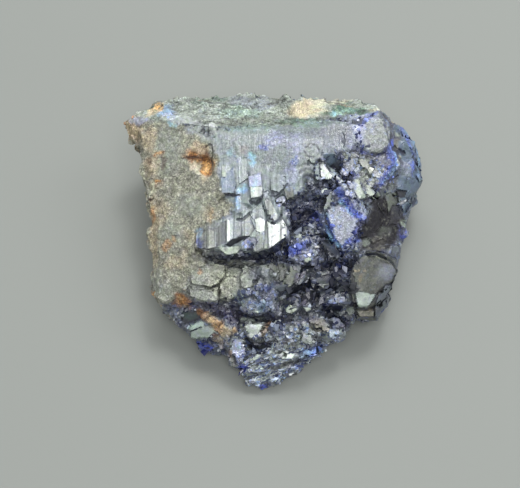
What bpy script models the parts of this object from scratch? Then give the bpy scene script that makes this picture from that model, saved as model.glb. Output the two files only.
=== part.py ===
"""A hand-sized azurite specimen: one broken lump of intergrown azurite crystals on its own weathered rock.

The lump is built the way it reads to the eye. Convex blocks of rock are laid out from the ledges and
facets of the display side, joined into one mass, broken up into small fracture faces, cut flat where
the specimen rests, and set with the long striated crystals and blades that stand out of it.
"""

import math

import bmesh
import bpy
import numpy as np
from mathutils import Matrix, Vector, noise

MM = 0.001

# ---------------------------------------------------------------- driving dimensions, in millimetres
SPECIMEN_WIDTH = 52.0  # left to right across the display side
EYE_DISTANCE = 200.0  # from the eye that the layout sheet is drawn for to the middle of the specimen
EYE_ELEVATION = math.radians(60.0)  # the display side is seen from this far above the table
EYE_AIM = Vector((0.0, 0.0, 8.0))  # the point that the eye looks at, above the middle of the base

# The layout sheet is a squared drawing that faces the eye. A spot on it is (squares to the right,
# squares down, height above the table in millimetres).
SQUARES_WIDE = 300.0  # squares across the specimen
SHEET_MIDDLE = (274.5, 242.0)  # the square that lies over EYE_AIM
SQUARE_REACH = EYE_DISTANCE * SQUARES_WIDE / SPECIMEN_WIDTH  # squares in one eye distance

GRAIN_SIZE = 0.5  # size of the cells in which the joined mass is measured
FRACTURES = (  # size of the broken faces, tilt of a face, step between neighbours, seed
    (5.0, 0.14, 0.20, 1.0),
    (2.3, 0.20, 0.18, 5.0),
)
# Faces that stayed whole: plan middle x and y, half width and half depth, share of the break-up kept
WHOLE_FACES = (
    (-15.5, 4.0, 8.5, 17.0, 0.30),  # the weathered side
    (0.0, 9.5, 11.5, 8.5, 0.35),  # the sheet in the middle
    (16.5, 13.5, 4.5, 5.0, 0.15),  # the smooth dome
    (16.8, -4.5, 4.5, 6.0, 0.20),  # the corner block
    (11.0, 3.0, 4.0, 6.0, 0.40),  # the wedge
    (-2.5, -16.5, 3.0, 3.0, 0.20),  # the pale facets of the lobe
    (-14.5, -16.5, 3.0, 2.5, 0.30),  # the grey facet at the lower left
)
MASS_TRIANGLES = 7200
BURIED = 1.6  # how far the core runs below the cut that the specimen rests on

BLOCK_COLOUR = (0.030, 0.045, 0.110, 1.0)
BLOCK_ROUGHNESS = 0.38

# ---------------------------------------------------------------- layout of the rock
# The core carries everything. Its two outlines are plan views, in millimetres from the middle.
CORE_FOOT = [
    (-15.5, -9.5), (-7, -17.5), (1, -20), (9, -15.5), (16, -7),
    (19, 3), (16, 14), (4, 20), (-11, 18), (-17.5, 8),
]
CORE_WAIST = [
    (-19, -9.5), (-13, -15.5), (-2, -20), (13, -14.5), (19, -8),
    (22, 0), (23.5, 10), (18, 18), (8, 21.5), (-8, 21.5), (-19.5, 17), (-20.5, 6),
]
CORE_SHOULDER = [
    (-17, -8), (-12, -12), (12, -11), (17, -6), (20, 3), (21, 11), (16, 18), (-15, 18), (-18, 7),
]
WAIST_HEIGHT = 6.0
SHOULDER_HEIGHT = 9.5

# name: (spots round the top, height of the foot, size of the foot against the top, foot moved x and y)
WEATHERED_SIDE = {
    "slab_upper": (
        [(141, 127, 17.8), (152, 123, 19.0), (182, 127, 20.4), (212, 138, 20.9), (217, 170, 19.9),
         (219, 205, 18.4), (170, 215, 16.4), (150, 214, 14.6), (141, 168, 16.2)],
        4.0, 0.90, (0.6, 0)),
    "sheet_backing": (
        [(168, 135, 18.4), (190, 118, 18.8), (262, 112, 18.6), (340, 112, 18.8), (345, 148, 18.8),
         (318, 150, 18.8), (298, 180, 18.2), (262, 196, 18.0), (222, 196, 17.6), (175, 190, 16.2)],
        4.0, 0.94, (0, 0)),
    "slab_brow": (
        [(176, 122, 19.8), (192, 118, 20.0), (212, 122, 20.8), (216, 140, 20.4), (200, 142, 20.0),
         (180, 134, 19.6)],
        9.0, 0.94, (0, 0)),
    "slab_lower": (
        [(158, 214, 15.6), (219, 204, 18.3), (214, 232, 17.0), (202, 252, 15.9), (206, 264, 15.1),
         (184, 289, 12.6), (176, 288, 12.2), (158, 282, 11.6)],
        3.0, 0.92, (0.3, 0.2)),
    "left_rim": (
        [(158, 212, 15.2), (158, 282, 11.3), (156, 297, 9.8), (152, 286, 9.4), (150, 262, 10.8),
         (150, 226, 12.8), (151, 212, 14.2)],
        2.0, 0.80, (0.8, 0)),
    "corner_chip": (
        [(158, 280, 11.9), (177, 281, 12.4), (177, 289, 11.9), (170, 300, 10.4), (161, 302.5, 9.6),
         (156, 296, 9.9)],
        2.0, 0.78, (0.5, 0.6)),
    "brown_tip": (
        [(124, 121, 15.4), (128, 117, 16.4), (141, 121, 17.6), (147, 140, 17.0), (138, 148, 15.4),
         (127, 139, 14.4)],
        9.5, 0.40, (3.0, -0.6)),
    "tip_ledge": (
        [(134, 116, 16.6), (150, 110, 17.2), (156, 122, 18.9), (150, 128, 18.6), (138, 124, 17.4)],
        9.0, 0.60, (2.0, -0.5)),
    "side_scab": (
        [(141, 150, 16.2), (152, 150, 17.2), (152, 170, 16.8), (146, 174, 15.6), (140, 162, 15.2)],
        8.0, 0.60, (1.4, 0)),
}
BACK = {
    "back_wall": (
        [(146, 124, 14.0), (200, 134, 15.0), (300, 136, 15.0), (388, 132, 14.0), (390, 122, 13.4),
         (368, 113, 13.4), (300, 107.5, 13.6), (210, 106, 13.6), (162, 113, 13.4)],
        1.0, 0.86, (0, -1.6)),
    "back_slope_left": (
        [(150, 121, 18.8), (190, 124, 20.9), (215, 127, 21.6), (222, 112, 20.0), (210, 95, 17.0),
         (182, 98, 16.4), (157, 103, 15.8), (136, 114, 16.0)],
        2.0, 0.78, (0.6, -1.0)),
    "back_slope_middle": (
        [(208, 126, 21.4), (262, 129, 22.1), (300, 129, 22.2), (296, 110, 19.6), (280, 98, 17.4),
         (262, 94, 16.8), (232, 96, 17.0), (208, 96, 17.0)],
        2.0, 0.80, (0, -0.8)),
    "back_slope_right": (
        [(288, 130, 22.1), (330, 125, 22.1), (350, 118, 21.3), (372, 111, 20.3), (384, 109, 19.4),
         (372, 102.5, 17.4), (345, 99, 16.8), (300, 98.5, 16.8)],
        2.0, 0.80, (-0.4, -0.8)),
    "clay_scab": (
        [(289, 114, 20.4), (301, 104, 19.4), (311, 97, 18.4), (322, 97, 18.2), (326, 108, 20.0),
         (319, 118, 21.4), (298, 119, 21.5)],
        14.0, 0.9, (0, 0)),
    "clay_ledge": (
        [(318, 100, 18.2), (350, 99, 17.8), (344, 103, 18.4), (326, 108, 19.4)],
        13.0, 0.9, (0, 0)),
    "blue_shelf": (
        [(157, 116, 19.2), (165, 106, 18.0), (186, 106, 18.6), (190, 122, 21.2), (172, 123, 20.4)],
        12.0, 0.9, (0, 0)),
}
CENTRE = {
    "sheet_left": (
        [(211, 128, 21.5), (262, 130, 22.2), (266, 160, 21.4), (262, 197, 19.7), (240, 193, 19.6),
         (222, 193, 19.4), (214, 150, 20.9)],
        9.0, 0.92, (0, 0)),
    "sheet_right": (
        [(262, 130, 22.2), (330, 126, 22.2), (343, 128, 21.8), (344, 150, 21.3), (322, 151, 21.5),
         (316, 160, 21.0), (304, 176, 20.6), (290, 178, 20.7), (264, 180, 20.7)],
        9.0, 0.92, (0, 0)),
    "blue_dome": (
        [(262, 148, 21.9), (271, 136, 22.6), (297, 134, 22.9), (305, 150, 22.2), (302, 172, 21.3),
         (292, 184, 20.5), (276, 187, 20.2), (266, 178, 20.8)],
        15.0, 0.92, (0, 0)),
    "dome_skirt": (
        [(264, 178, 20.6), (300, 174, 21.0), (308, 184, 19.8), (300, 195, 19.2), (287, 192, 19.5),
         (281, 188, 19.9), (268, 189, 19.9)],
        12.0, 0.90, (0, 0)),
    "rosette": (
        [(302, 139, 22.4), (311, 131, 22.8), (321, 137, 22.4), (322, 150, 21.9), (316, 163, 20.9),
         (306, 163, 21.0), (301, 152, 21.8)],
        15.0, 0.92, (0, 0)),
    "fan_slope": (
        [(298, 166, 21.0), (310, 165, 20.8), (320, 172, 19.6), (321, 179, 18.9), (306, 190, 19.0),
         (300, 192, 19.2)],
        12.0, 0.92, (0, 0)),
    "crystal_bed": (
        [(203, 234, 17.2), (222, 203, 18.4), (262, 200, 18.8), (279, 208, 18.6), (283, 234, 17.6),
         (268, 249, 16.8), (222, 252, 16.4), (206, 249, 16.2)],
        8.0, 0.88, (0, 0.6)),
    "bed_backing": (
        [(200, 222, 15.8), (284, 222, 15.4), (288, 262, 12.8), (203, 266, 13.6)],
        5.0, 0.95, (0, 0)),
    "under_bed": (
        [(218, 250, 16.6), (240, 238, 17.6), (262, 240, 17.4), (264, 252, 16.2), (240, 256, 15.8),
         (222, 257, 15.6)],
        8.0, 0.88, (0, 0.6)),
    "recess_floor": (
        [(278, 196, 15.0), (330, 172, 15.6), (334, 222, 14.0), (300, 238, 14.0), (284, 238, 14.6)],
        7.0, 0.95, (0, 0)),
    "arch_floor": (
        [(314, 150, 16.6), (346, 150, 16.8), (346, 186, 15.6), (314, 186, 15.6)],
        8.0, 0.95, (0, 0)),
    "recess_ledge": (
        [(290, 202, 17.6), (306, 199, 17.8), (309, 206, 17.0), (296, 213, 16.4), (288, 210, 16.8)],
        10.0, 0.8, (0, 0)),
    "recess_boss": (
        [(306, 188, 18.0), (320, 180, 18.2), (330, 184, 18.0), (318, 194, 17.0), (308, 198, 16.8)],
        10.0, 0.85, (0, 0)),
}
RIGHT_SIDE = {
    "right_backing": (
        [(348, 114, 18.6), (386, 112, 18.0), (412, 150, 12.6), (404, 190, 12.4), (380, 186, 15.0),
         (350, 178, 16.8), (345, 152, 18.4)],
        3.0, 0.92, (-0.4, 0)),
    "corner_backing": (
        [(356, 108, 19.4), (378, 107, 18.8), (388, 112, 17.8), (393, 126, 17.4), (390, 152, 17.0),
         (360, 132, 20.4)],
        5.0, 0.92, (-0.4, 0)),
    "lobe_backing": (
        [(384, 128, 17.4), (402, 127, 15.8), (414, 142, 12.8), (421, 164, 10.8), (418, 186, 10.0),
         (400, 192, 13.0), (384, 182, 16.2)],
        3.0, 0.86, (-0.6, 0)),
    "shoulder": (
        [(330, 126, 22.0), (352, 118, 21.6), (358, 128, 21.7), (352, 152, 20.9), (345, 164, 20.2),
         (343, 150, 21.1)],
        9.0, 0.94, (0, 0)),
    "shoulder_backing": (
        [(340, 114, 20.2), (370, 112, 20.0), (374, 150, 19.6), (342, 158, 19.4)],
        9.0, 0.94, (0, 0)),
    "smooth_dome": (
        [(355, 126, 21.9), (369, 116, 22.2), (381, 117, 21.8), (387, 130, 21.6), (388, 146, 20.8),
         (379, 152, 20.7), (362, 149, 21.2)],
        10.0, 0.94, (0, 0)),
    "dome_bevel": (
        [(369, 111.5, 20.8), (381, 111, 20.4), (388, 120, 20.0), (391, 134, 19.8), (391, 150, 19.2),
         (381, 153, 19.6), (378, 122, 21.6)],
        8.0, 0.92, (0, 0)),
    "druse_bank": (
        [(344, 162, 20.0), (354, 156, 20.2), (388, 155, 19.6), (392, 170, 18.4), (384, 184, 17.6),
         (370, 184, 17.8), (352, 178, 18.8)],
        8.0, 0.92, (0, 0.3)),
    "druse_lip": (
        [(356, 176, 18.8), (386, 172, 18.6), (391, 180, 17.6), (380, 190, 16.8), (366, 188, 17.2)],
        9.0, 0.88, (0, 0.4)),
    "blue_rib": (
        [(388, 146, 19.6), (396, 152, 18.6), (399, 166, 17.4), (393, 180, 16.8), (387, 186, 17.0),
         (388, 170, 18.6)],
        8.0, 0.90, (0, 0.2)),
    "right_lobe": (
        [(392, 121, 18.0), (403, 123, 16.6), (413, 136, 14.8), (419, 146, 13.4), (424, 164, 12.0),
         (424, 176, 11.4), (420, 189, 10.6), (410, 196, 12.0), (398, 190, 14.6), (390, 170, 17.0)],
        3.0, 0.76, (-0.8, 0)),
    "lobe_facet": (
        [(398, 166, 16.4), (412, 158, 15.0), (420, 170, 13.2), (412, 182, 13.2), (402, 182, 14.4)],
        6.0, 0.88, (0, 0)),
    "wedge": (
        [(332, 191, 19.4), (345, 185, 20.1), (360, 196, 19.0), (368, 214, 17.4), (358, 232, 16.2),
         (347, 250, 14.6), (337, 244, 15.2), (328, 227, 16.6), (323, 208, 18.0)],
        7.0, 0.86, (0, 0.4)),
    "wedge_head": (
        [(340, 180, 18.8), (354, 178, 19.0), (372, 188, 17.6), (372, 202, 17.0), (360, 206, 17.4),
         (346, 186, 19.6)],
        9.0, 0.90, (0, 0.3)),
    "dark_slope": (
        [(371, 202, 16.2), (386, 190, 15.8), (409, 198, 12.0), (408, 218, 10.6), (398, 232, 11.0),
         (376, 240, 13.0), (361, 232, 14.6)],
        4.0, 0.84, (-0.6, 0)),
    "slope_foot": (
        [(360, 232, 14.2), (392, 228, 11.8), (402, 244, 10.0), (398, 256, 10.0), (380, 254, 12.4),
         (352, 250, 14.2)],
        3.0, 0.88, (-0.4, 0)),
    "side_knob": (
        [(396, 224, 12.8), (404, 221, 12.2), (409, 229, 11.0), (408, 237, 10.0), (402, 241, 9.6),
         (395, 236, 11.2)],
        5.0, 0.66, (-0.8, 0)),
    "low_knob": (
        [(379, 247, 13.8), (390, 243, 13.0), (400, 247, 11.0), (397, 257, 10.6), (386, 260, 12.6)],
        5.0, 0.80, (-0.4, 0)),
}
LOWER_RIGHT = {
    "corner_block": (
        [(355, 258, 15.6), (372, 253, 15.9), (390, 259, 14.9), (397, 270, 13.6), (390, 284, 12.6),
         (377, 294, 12.1), (356, 292, 12.9), (351, 273, 14.6)],
        6.0, 0.92, (-0.2, 0)),
    "corner_bevel": (
        [(355, 291, 12.9), (377, 293, 12.2), (376, 303, 10.4), (368, 306, 10.0), (358, 304, 10.6)],
        5.0, 0.88, (0, 0.5)),
    "corner_backing_low": (
        [(384, 244, 12.2), (402, 250, 9.6), (396, 276, 9.2), (384, 298, 7.0), (356, 312, 7.0),
         (348, 290, 10.6), (356, 256, 13.0)],
        1.0, 0.86, (-0.6, 0.4)),
    "corner_skirt": (
        [(397, 270, 13.0), (392, 284, 10.6), (376, 296, 11.0), (360, 306, 9.6), (352, 312, 7.2),
         (357, 318, 5.6), (379, 318, 4.6), (385, 304, 6.2), (393, 289, 8.2)],
        1.0, 0.82, (-0.6, 1.0)),
    "mid_lump": (
        [(288, 238, 16.6), (300, 231, 17.4), (313, 237, 17.2), (325, 254, 15.6), (320, 266, 14.4),
         (303, 266, 14.6), (287, 256, 15.6)],
        7.0, 0.90, (0, 0.4)),
    "dark_plate": (
        [(317, 234, 17.2), (328, 237, 17.2), (345, 254, 15.4), (341, 260, 14.8), (324, 253, 15.2)],
        7.0, 0.90, (0, 0.2)),
    "jumble": (
        [(276, 262, 13.6), (325, 262, 12.8), (352, 256, 13.0), (353, 296, 10.4), (344, 312, 8.8),
         (300, 315, 9.8), (274, 312, 10.6)],
        3.0, 0.92, (0, 0.4)),
    "jumble_facet": (
        [(282, 268, 15.2), (298, 264, 15.4), (301, 272, 14.6), (291, 288, 12.8), (281, 288, 13.0)],
        8.0, 0.88, (0, 0.3)),
    "ledge_upper": (
        [(312, 271, 14.4), (344, 269, 14.2), (346, 279, 13.2), (334, 287, 12.2), (315, 284, 12.6)],
        8.0, 0.88, (0, 0.4)),
    "ledge_lower": (
        [(322, 292, 12.6), (348, 290, 12.6), (350, 300, 11.4), (336, 305, 10.8), (322, 302, 11.2)],
        6.0, 0.88, (0, 0.4)),
    "pebble_left": (
        [(284, 302, 12.8), (294, 299, 13.2), (299, 305, 12.4), (296, 313, 11.2), (286, 313, 11.2)],
        7.0, 0.80, (0, 0.2)),
    "pebble_right": (
        [(303, 301, 12.4), (311, 299, 12.4), (313, 308, 11.2), (306, 313, 10.6)],
        7.0, 0.80, (0, 0.2)),
}
FRONT = {
    "front_step": (
        [(205, 263, 14.8), (226, 261, 14.9), (262, 259, 15.0), (286, 259, 14.9), (284, 276, 14.0),
         (276, 288, 13.4), (240, 290, 13.4), (220, 301, 12.0), (196, 299, 12.2), (184, 290, 12.4)],
        4.0, 0.92, (0, 0.6)),
    "block_left": (
        [(206, 264, 15.2), (225, 263, 15.2), (222, 277, 14.0), (215, 284, 13.4), (203, 281, 13.8)],
        9.0, 0.92, (0, 0)),
    "block_middle": (
        [(224, 279, 14.2), (239, 277, 14.4), (241, 286, 13.5), (233, 292, 13.0), (222, 300, 12.2),
         (219, 287, 13.4)],
        8.0, 0.92, (0, 0.2)),
    "block_right": (
        [(242, 275, 14.7), (252, 276, 14.6), (254, 285, 13.8), (246, 290, 13.4), (240, 284, 13.8)],
        8.0, 0.92, (0, 0.2)),
    "block_under_shade": (
        [(262, 264, 15.3), (274, 263, 15.4), (280, 275, 14.4), (271, 283, 13.9), (261, 276, 14.6)],
        8.0, 0.90, (0, 0.2)),
    "druse_lip_front": (
        [(234, 292, 13.6), (248, 284, 14.5), (274, 285, 14.6), (280, 297, 13.4), (271, 311, 12.0),
         (252, 314, 11.6), (238, 306, 12.0)],
        8.0, 0.82, (0, 0.6)),
    "ledge_violet": (
        [(194, 302, 9.6), (216, 303, 10.0), (242, 313, 10.0), (246, 330, 8.6), (236, 326, 9.2),
         (214, 313, 9.8)],
        3.0, 0.90, (0, 0.5)),
    "rusty_strip": (
        [(199, 313, 9.4), (210, 313, 9.8), (234, 330, 9.0), (238, 342, 7.2), (226, 344, 6.6),
         (212, 337, 7.2), (203, 324, 8.6)],
        2.0, 0.88, (0, 0.4)),
    "lower_left": (
        [(166, 302, 8.0), (196, 304, 9.0), (210, 325, 8.2), (216, 345, 5.2), (205, 349, 3.2),
         (190, 338, 4.0), (182, 324, 5.6), (172, 310, 7.0)],
        0.6, 0.86, (0.6, 0.9)),
    "grey_crystal": (
        [(186, 324, 7.2), (203, 319, 9.0), (214, 326, 8.2), (211, 338, 6.4), (194, 340, 4.8)],
        2.0, 0.80, (0, 0.4)),
    "rust_ball": (
        [(174, 298, 9.6), (182, 293, 11.4), (190, 298, 10.8), (191, 306, 9.2), (183, 311, 8.4),
         (175, 306, 8.4)],
        3.0, 0.80, (0, 0.3)),
    "blue_chip": (
        [(193, 341, 4.2), (206, 340, 5.4), (220, 346, 5.0), (222, 351, 3.2), (208, 352, 1.8),
         (198, 348, 2.6)],
        0.4, 0.84, (0, 0.6)),
}
BOTTOM_LOBE = {
    "lobe_body": (
        [(240, 326, 8.6), (262, 320, 9.4), (300, 317, 10.2), (340, 316, 9.6), (349, 325, 7.6),
         (343, 338, 5.4), (322, 352, 3.2), (300, 366, 2.0), (282, 382, 1.0), (264, 388.5, 0.4),
         (248, 383, 0.8), (236, 368, 2.6), (232, 352, 5.0)],
        -BURIED, 0.80, (0, 1.8)),
    "white_facet": (
        [(243, 319, 11.2), (262, 317, 11.8), (267, 327, 11.0), (259, 340, 9.2), (250, 338, 9.4),
         (243, 328, 10.6)],
        6.0, 0.92, (0, 0.4)),
    "white_facet_right": (
        [(259, 328, 10.8), (272, 324, 11.2), (277, 330, 10.4), (268, 340, 9.0), (258, 340, 9.2)],
        6.0, 0.92, (0, 0.4)),
    "lobe_crown": (
        [(272, 320, 11.4), (300, 319, 11.8), (318, 328, 10.8), (318, 342, 8.8), (296, 350, 8.0),
         (274, 342, 9.0)],
        4.0, 0.90, (0, 0.5)),
    "lobe_left_rib": (
        [(230, 340, 7.6), (243, 338, 8.8), (246, 352, 7.6), (250, 362, 5.8), (238, 368, 3.4),
         (228, 354, 5.2)],
        0.4, 0.86, (0, 0.8)),
    "lobe_front": (
        [(246, 352, 7.6), (268, 351, 8.0), (300, 347, 8.0), (318, 350, 5.2), (300, 363, 3.8),
         (280, 374, 3.0), (250, 372, 3.2)],
        0.0, 0.88, (0, 0.9)),
    "lobe_right_knob": (
        [(318, 318, 11.0), (338, 316, 10.6), (348, 325, 8.2), (342, 337, 6.0), (326, 342, 6.2),
         (316, 332, 8.8)],
        2.0, 0.84, (0, 0.6)),
    "lobe_tip": (
        [(244, 370, 3.6), (270, 366, 4.4), (288, 368, 3.4), (280, 380, 1.6), (264, 386, 1.0),
         (250, 381, 1.4)],
        -BURIED, 0.86, (0, 0.8)),
}
ROCK = (WEATHERED_SIDE, BACK, CENTRE, RIGHT_SIDE, LOWER_RIGHT, FRONT, BOTTOM_LOBE)

# Clefts and pockets that run down into the rock, laid out like the blocks: wide at the top, narrow below
CLEFTS = {
    "under_the_row": (
        [(203, 252, 17.6), (222, 255, 17.6), (246, 257, 17.6), (268, 254, 17.6), (289, 246, 17.6),
         (291, 254, 17.0), (264, 262, 16.6), (235, 263, 16.6), (206, 259, 16.6)],
        11.8, 0.84, (0, 1.0)),
    "limonite_pocket": (
        [(182, 155, 22.5), (198, 145, 22.8), (214, 143, 23.0), (214, 170, 22.0), (205, 182, 21.4),
         (192, 167, 22.0)],
        18.2, 0.45, (0.6, 0.8)),
    "dark_notch": (
        [(251, 198, 20.8), (258, 192, 21.0), (268, 197, 20.6), (263, 209, 20.0), (252, 206, 20.0)],
        16.0, 0.7, (0, 0.5)),
    "under_the_lip": (
        [(190, 300, 12.6), (214, 303, 12.6), (240, 312, 12.4), (262, 315, 12.6), (284, 313, 12.6),
         (284, 320, 11.6), (258, 322, 11.6), (236, 319, 11.4), (208, 309, 11.2), (190, 304, 11.4)],
        7.0, 0.86, (0, 0.8)),
    "under_the_ledge": (
        [(320, 304, 12.4), (346, 302, 12.4), (352, 311, 10.6), (340, 316, 10.4), (322, 313, 11.0)],
        6.6, 0.80, (0, 0.8)),
    "lobe_hollow": (
        [(247, 338, 10.4), (264, 340, 10.4), (269, 344, 9.6), (264, 352, 8.8), (252, 352, 8.6)],
        4.6, 0.6, (0, 0.4)),
    "jumble_cleft": (
        [(302, 266, 15.4), (312, 264, 15.6), (314, 282, 14.2), (310, 297, 13.2), (301, 296, 13.2),
         (305, 282, 14.2)],
        9.4, 0.6, (0, 0.6)),
    "pebble_cleft": (
        [(276, 288, 14.0), (300, 289, 13.8), (300, 294, 13.4), (277, 296, 13.4)],
        9.4, 0.7, (0, 0.4)),
    "wedge_foot": (
        [(346, 252, 16.4), (358, 240, 16.6), (364, 247, 16.0), (352, 264, 14.4), (338, 268, 14.4),
         (336, 262, 15.0)],
        10.4, 0.7, (0, 0.4)),
    "recess": (
        [(286, 210, 19.0), (300, 200, 19.4), (318, 188, 19.4), (322, 204, 18.8), (322, 226, 18.0),
         (302, 230, 17.6), (288, 226, 18.0)],
        12.6, 0.8, (0, 0.5)),
}

# ---------------------------------------------------------------- crystals set in the rock
# name: (spot at the root, spot at the broken end, width, thickness, roll about its own length)
CRYSTALS = {
    "row_1": ((205, 220, 17.0), (202, 249, 17.2), 2.8, 3.2, -34),
    "row_2": ((211, 214, 17.6), (210, 250, 17.6), 2.8, 3.2, 4),
    "row_3": ((219, 210, 18.0), (218, 249, 18.0), 3.0, 3.4, -22),
    "row_4": ((228, 206, 18.3), (227, 244, 18.4), 3.0, 3.4, 10),
    "row_5": ((237, 202, 18.6), (236, 240, 18.8), 3.0, 3.4, -16),
    "row_6": ((246, 198, 18.8), (245, 237, 19.0), 3.0, 3.4, 14),
    "row_7": ((254, 196, 19.0), (254, 240, 19.1), 2.9, 3.4, -8),
    "row_8": ((262, 194, 19.2), (262, 246, 18.9), 3.0, 3.6, 6),
    "row_9": ((275, 204, 19.2), (272, 249, 18.6), 4.6, 4.0, -3),
    "row_10": ((283, 210, 18.6), (281, 243, 18.3), 2.8, 3.6, 18),
    "leaner": ((265, 190, 19.8), (276, 222, 20.3), 2.8, 3.0, -18),
    "shelf_left": ((222, 240, 18.2), (232, 255, 16.8), 3.2, 2.4, -30),
    "shelf_right": ((240, 238, 18.2), (246, 253, 16.9), 3.4, 2.4, 24),
    "upper_1": ((230, 138, 20.9), (228, 194, 20.0), 4.0, 2.8, 6),
    "upper_2": ((257, 144, 21.4), (256, 198, 20.5), 4.0, 3.0, -8),
    "upper_3": ((241, 152, 20.4), (240, 214, 19.2), 3.4, 2.8, 14),
    "upper_4": ((249, 150, 20.8), (248, 205, 19.8), 2.6, 2.6, -18),
    "mirror": ((325, 158, 19.0), (327, 180, 18.5), 3.4, 3.4, 0),
    "mirror_side": ((317, 164, 19.0), (318, 179, 18.3), 1.8, 2.6, 30),
    "fan_1": ((301, 164, 20.6), (314, 184, 19.4), 1.6, 1.8, 24),
    "fan_2": ((295, 168, 20.6), (304, 191, 19.6), 1.8, 1.8, -14),
    "fan_3": ((289, 170, 20.5), (293, 194, 19.4), 1.9, 1.8, 10),
    "step_1": ((287, 190, 18.8), (279, 206, 18.2), 2.6, 2.4, 10),
    "step_2": ((276, 186, 19.0), (272, 198, 18.9), 2.4, 2.2, -10),
    "recess_blade": ((290, 213, 16.2), (306, 201, 17.4), 1.6, 2.0, 30),
    "bar_1": ((296, 286, 12.6), (309, 268, 14.5), 1.5, 2.0, 20),
    "bar_2": ((283, 309, 11.6), (303, 291, 13.2), 1.5, 2.0, -18),
    "bar_3": ((303, 306, 11.6), (313, 288, 13.2), 1.7, 2.0, 12),
    "bar_4": ((312, 277, 14.1), (330, 273, 14.5), 1.5, 1.8, 30),
    "blade_corner": ((340, 304, 9.2), (355, 313, 8.4), 3.4, 3.0, 25),
    "lobe_blade_1": ((240, 373, 3.2), (262, 366, 4.6), 1.4, 1.8, 20),
    "lobe_blade_2": ((246, 381, 2.0), (272, 374, 3.2), 1.4, 1.8, -20),
    "lobe_blade_3": ((278, 377, 2.2), (298, 363, 4.0), 1.6, 1.8, 15),
    "knob_blade": ((384, 196, 15.0), (401, 205, 12.8), 2.8, 2.6, 30),
    "slope_blade": ((366, 226, 14.4), (380, 205, 15.8), 3.2, 2.8, -30),
    "wedge_blade": ((356, 192, 18.6), (372, 187, 18.2), 2.6, 2.6, 20),
}
CRYSTAL_SIDES = 6
CRYSTAL_TAPER = 0.90  # size of the broken end against the root
END_SLANT = 0.35  # how far the broken end leans, against the width


# ---------------------------------------------------------------- helpers
def spot(across, down, height):
    """The point in space, in millimetres, that lies at a height behind a square of the layout sheet."""
    toward = Vector((0.0, math.cos(EYE_ELEVATION), -math.sin(EYE_ELEVATION)))
    upward = Vector((0.0, math.sin(EYE_ELEVATION), math.cos(EYE_ELEVATION)))
    eye = EYE_AIM - EYE_DISTANCE * toward
    ray = toward + Vector((1.0, 0.0, 0.0)) * ((across - SHEET_MIDDLE[0]) / SQUARE_REACH)
    ray -= upward * ((down - SHEET_MIDDLE[1]) / SQUARE_REACH)
    return eye + ray * ((height - eye.z) / ray.z)


def object_from(bm, name, collection):
    mesh = bpy.data.meshes.new(name)
    bm.to_mesh(mesh)
    bm.free()
    made = bpy.data.objects.new(name, mesh)
    collection.objects.link(made)
    return made


def hull(name, points, collection):
    """The convex block that just holds the points."""
    bm = bmesh.new()
    for point in points:
        bm.verts.new(point)
    wrapped = bmesh.ops.convex_hull(bm, input=list(bm.verts))
    left_over = set(wrapped["geom_interior"] + wrapped["geom_unused"])
    bmesh.ops.delete(bm, geom=[v for v in bm.verts if v in left_over], context="VERTS")
    bmesh.ops.recalc_face_normals(bm, faces=list(bm.faces))
    return object_from(bm, name, collection)


def block(name, top_spots, foot_height, foot_size, foot_move, collection):
    """A block with its top on the given spots and its sides running down to a smaller foot."""
    top = [spot(*s) for s in top_spots]
    middle = sum(top, Vector()) / len(top)
    foot = [
        Vector((
            middle.x + (p.x - middle.x) * foot_size + foot_move[0],
            middle.y + (p.y - middle.y) * foot_size + foot_move[1],
            foot_height,
        ))
        for p in top
    ]
    return hull(name, top + foot, collection)


def crystal(name, root_spot, end_spot, width, thickness, roll, collection):
    """A flattened six-sided prism that lies in the rock, with its upper face on the line of the two spots."""
    root = spot(*root_spot)
    end = spot(*end_spot)
    along = end - root
    bm = bmesh.new()
    bmesh.ops.create_cone(
        bm, cap_ends=True, segments=CRYSTAL_SIDES, radius1=0.5, radius2=0.5, depth=along.length,
        matrix=Matrix.Rotation(math.radians(30), 4, "Z"),
    )
    bmesh.ops.scale(bm, vec=(width, thickness, 1.0), verts=list(bm.verts))
    far_end = [v for v in bm.verts if v.co.z > 0]
    bmesh.ops.scale(bm, vec=(CRYSTAL_TAPER, CRYSTAL_TAPER, 1.0), verts=far_end)
    lean = END_SLANT if roll > 0 else -END_SLANT
    for vert in far_end:
        vert.co.z += vert.co.x * lean - abs(vert.co.y) * END_SLANT
    # The prism's z runs along the crystal, and its y stands away from the rock.
    forward = along.normalized()
    side = forward.cross(Vector((0, 0, 1))).normalized()
    outward = side.cross(forward)
    turn = Matrix((side, outward, forward)).transposed().to_4x4()
    place = Matrix.Translation((root + end) / 2 - outward * thickness * 0.4)
    rolled = Matrix.Rotation(math.radians(roll), 4, "Z")
    bmesh.ops.transform(bm, matrix=place @ turn @ rolled, verts=list(bm.verts))
    return object_from(bm, name, collection)


def evaluated_mesh(made):
    bpy.context.view_layer.update()
    graph = bpy.context.evaluated_depsgraph_get()
    return bpy.data.meshes.new_from_object(made.evaluated_get(graph))


def apply_modifiers(made):
    mesh = evaluated_mesh(made)
    made.modifiers.clear()
    made.data = mesh


def combine(made, operation, collection):
    """Joins the solids of the collection to the body, or cuts them out of it."""
    change = made.modifiers.new("combine", "BOOLEAN")
    change.operation = operation
    change.operand_type = "COLLECTION"
    change.collection = collection
    change.solver = "EXACT"
    apply_modifiers(made)


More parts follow.
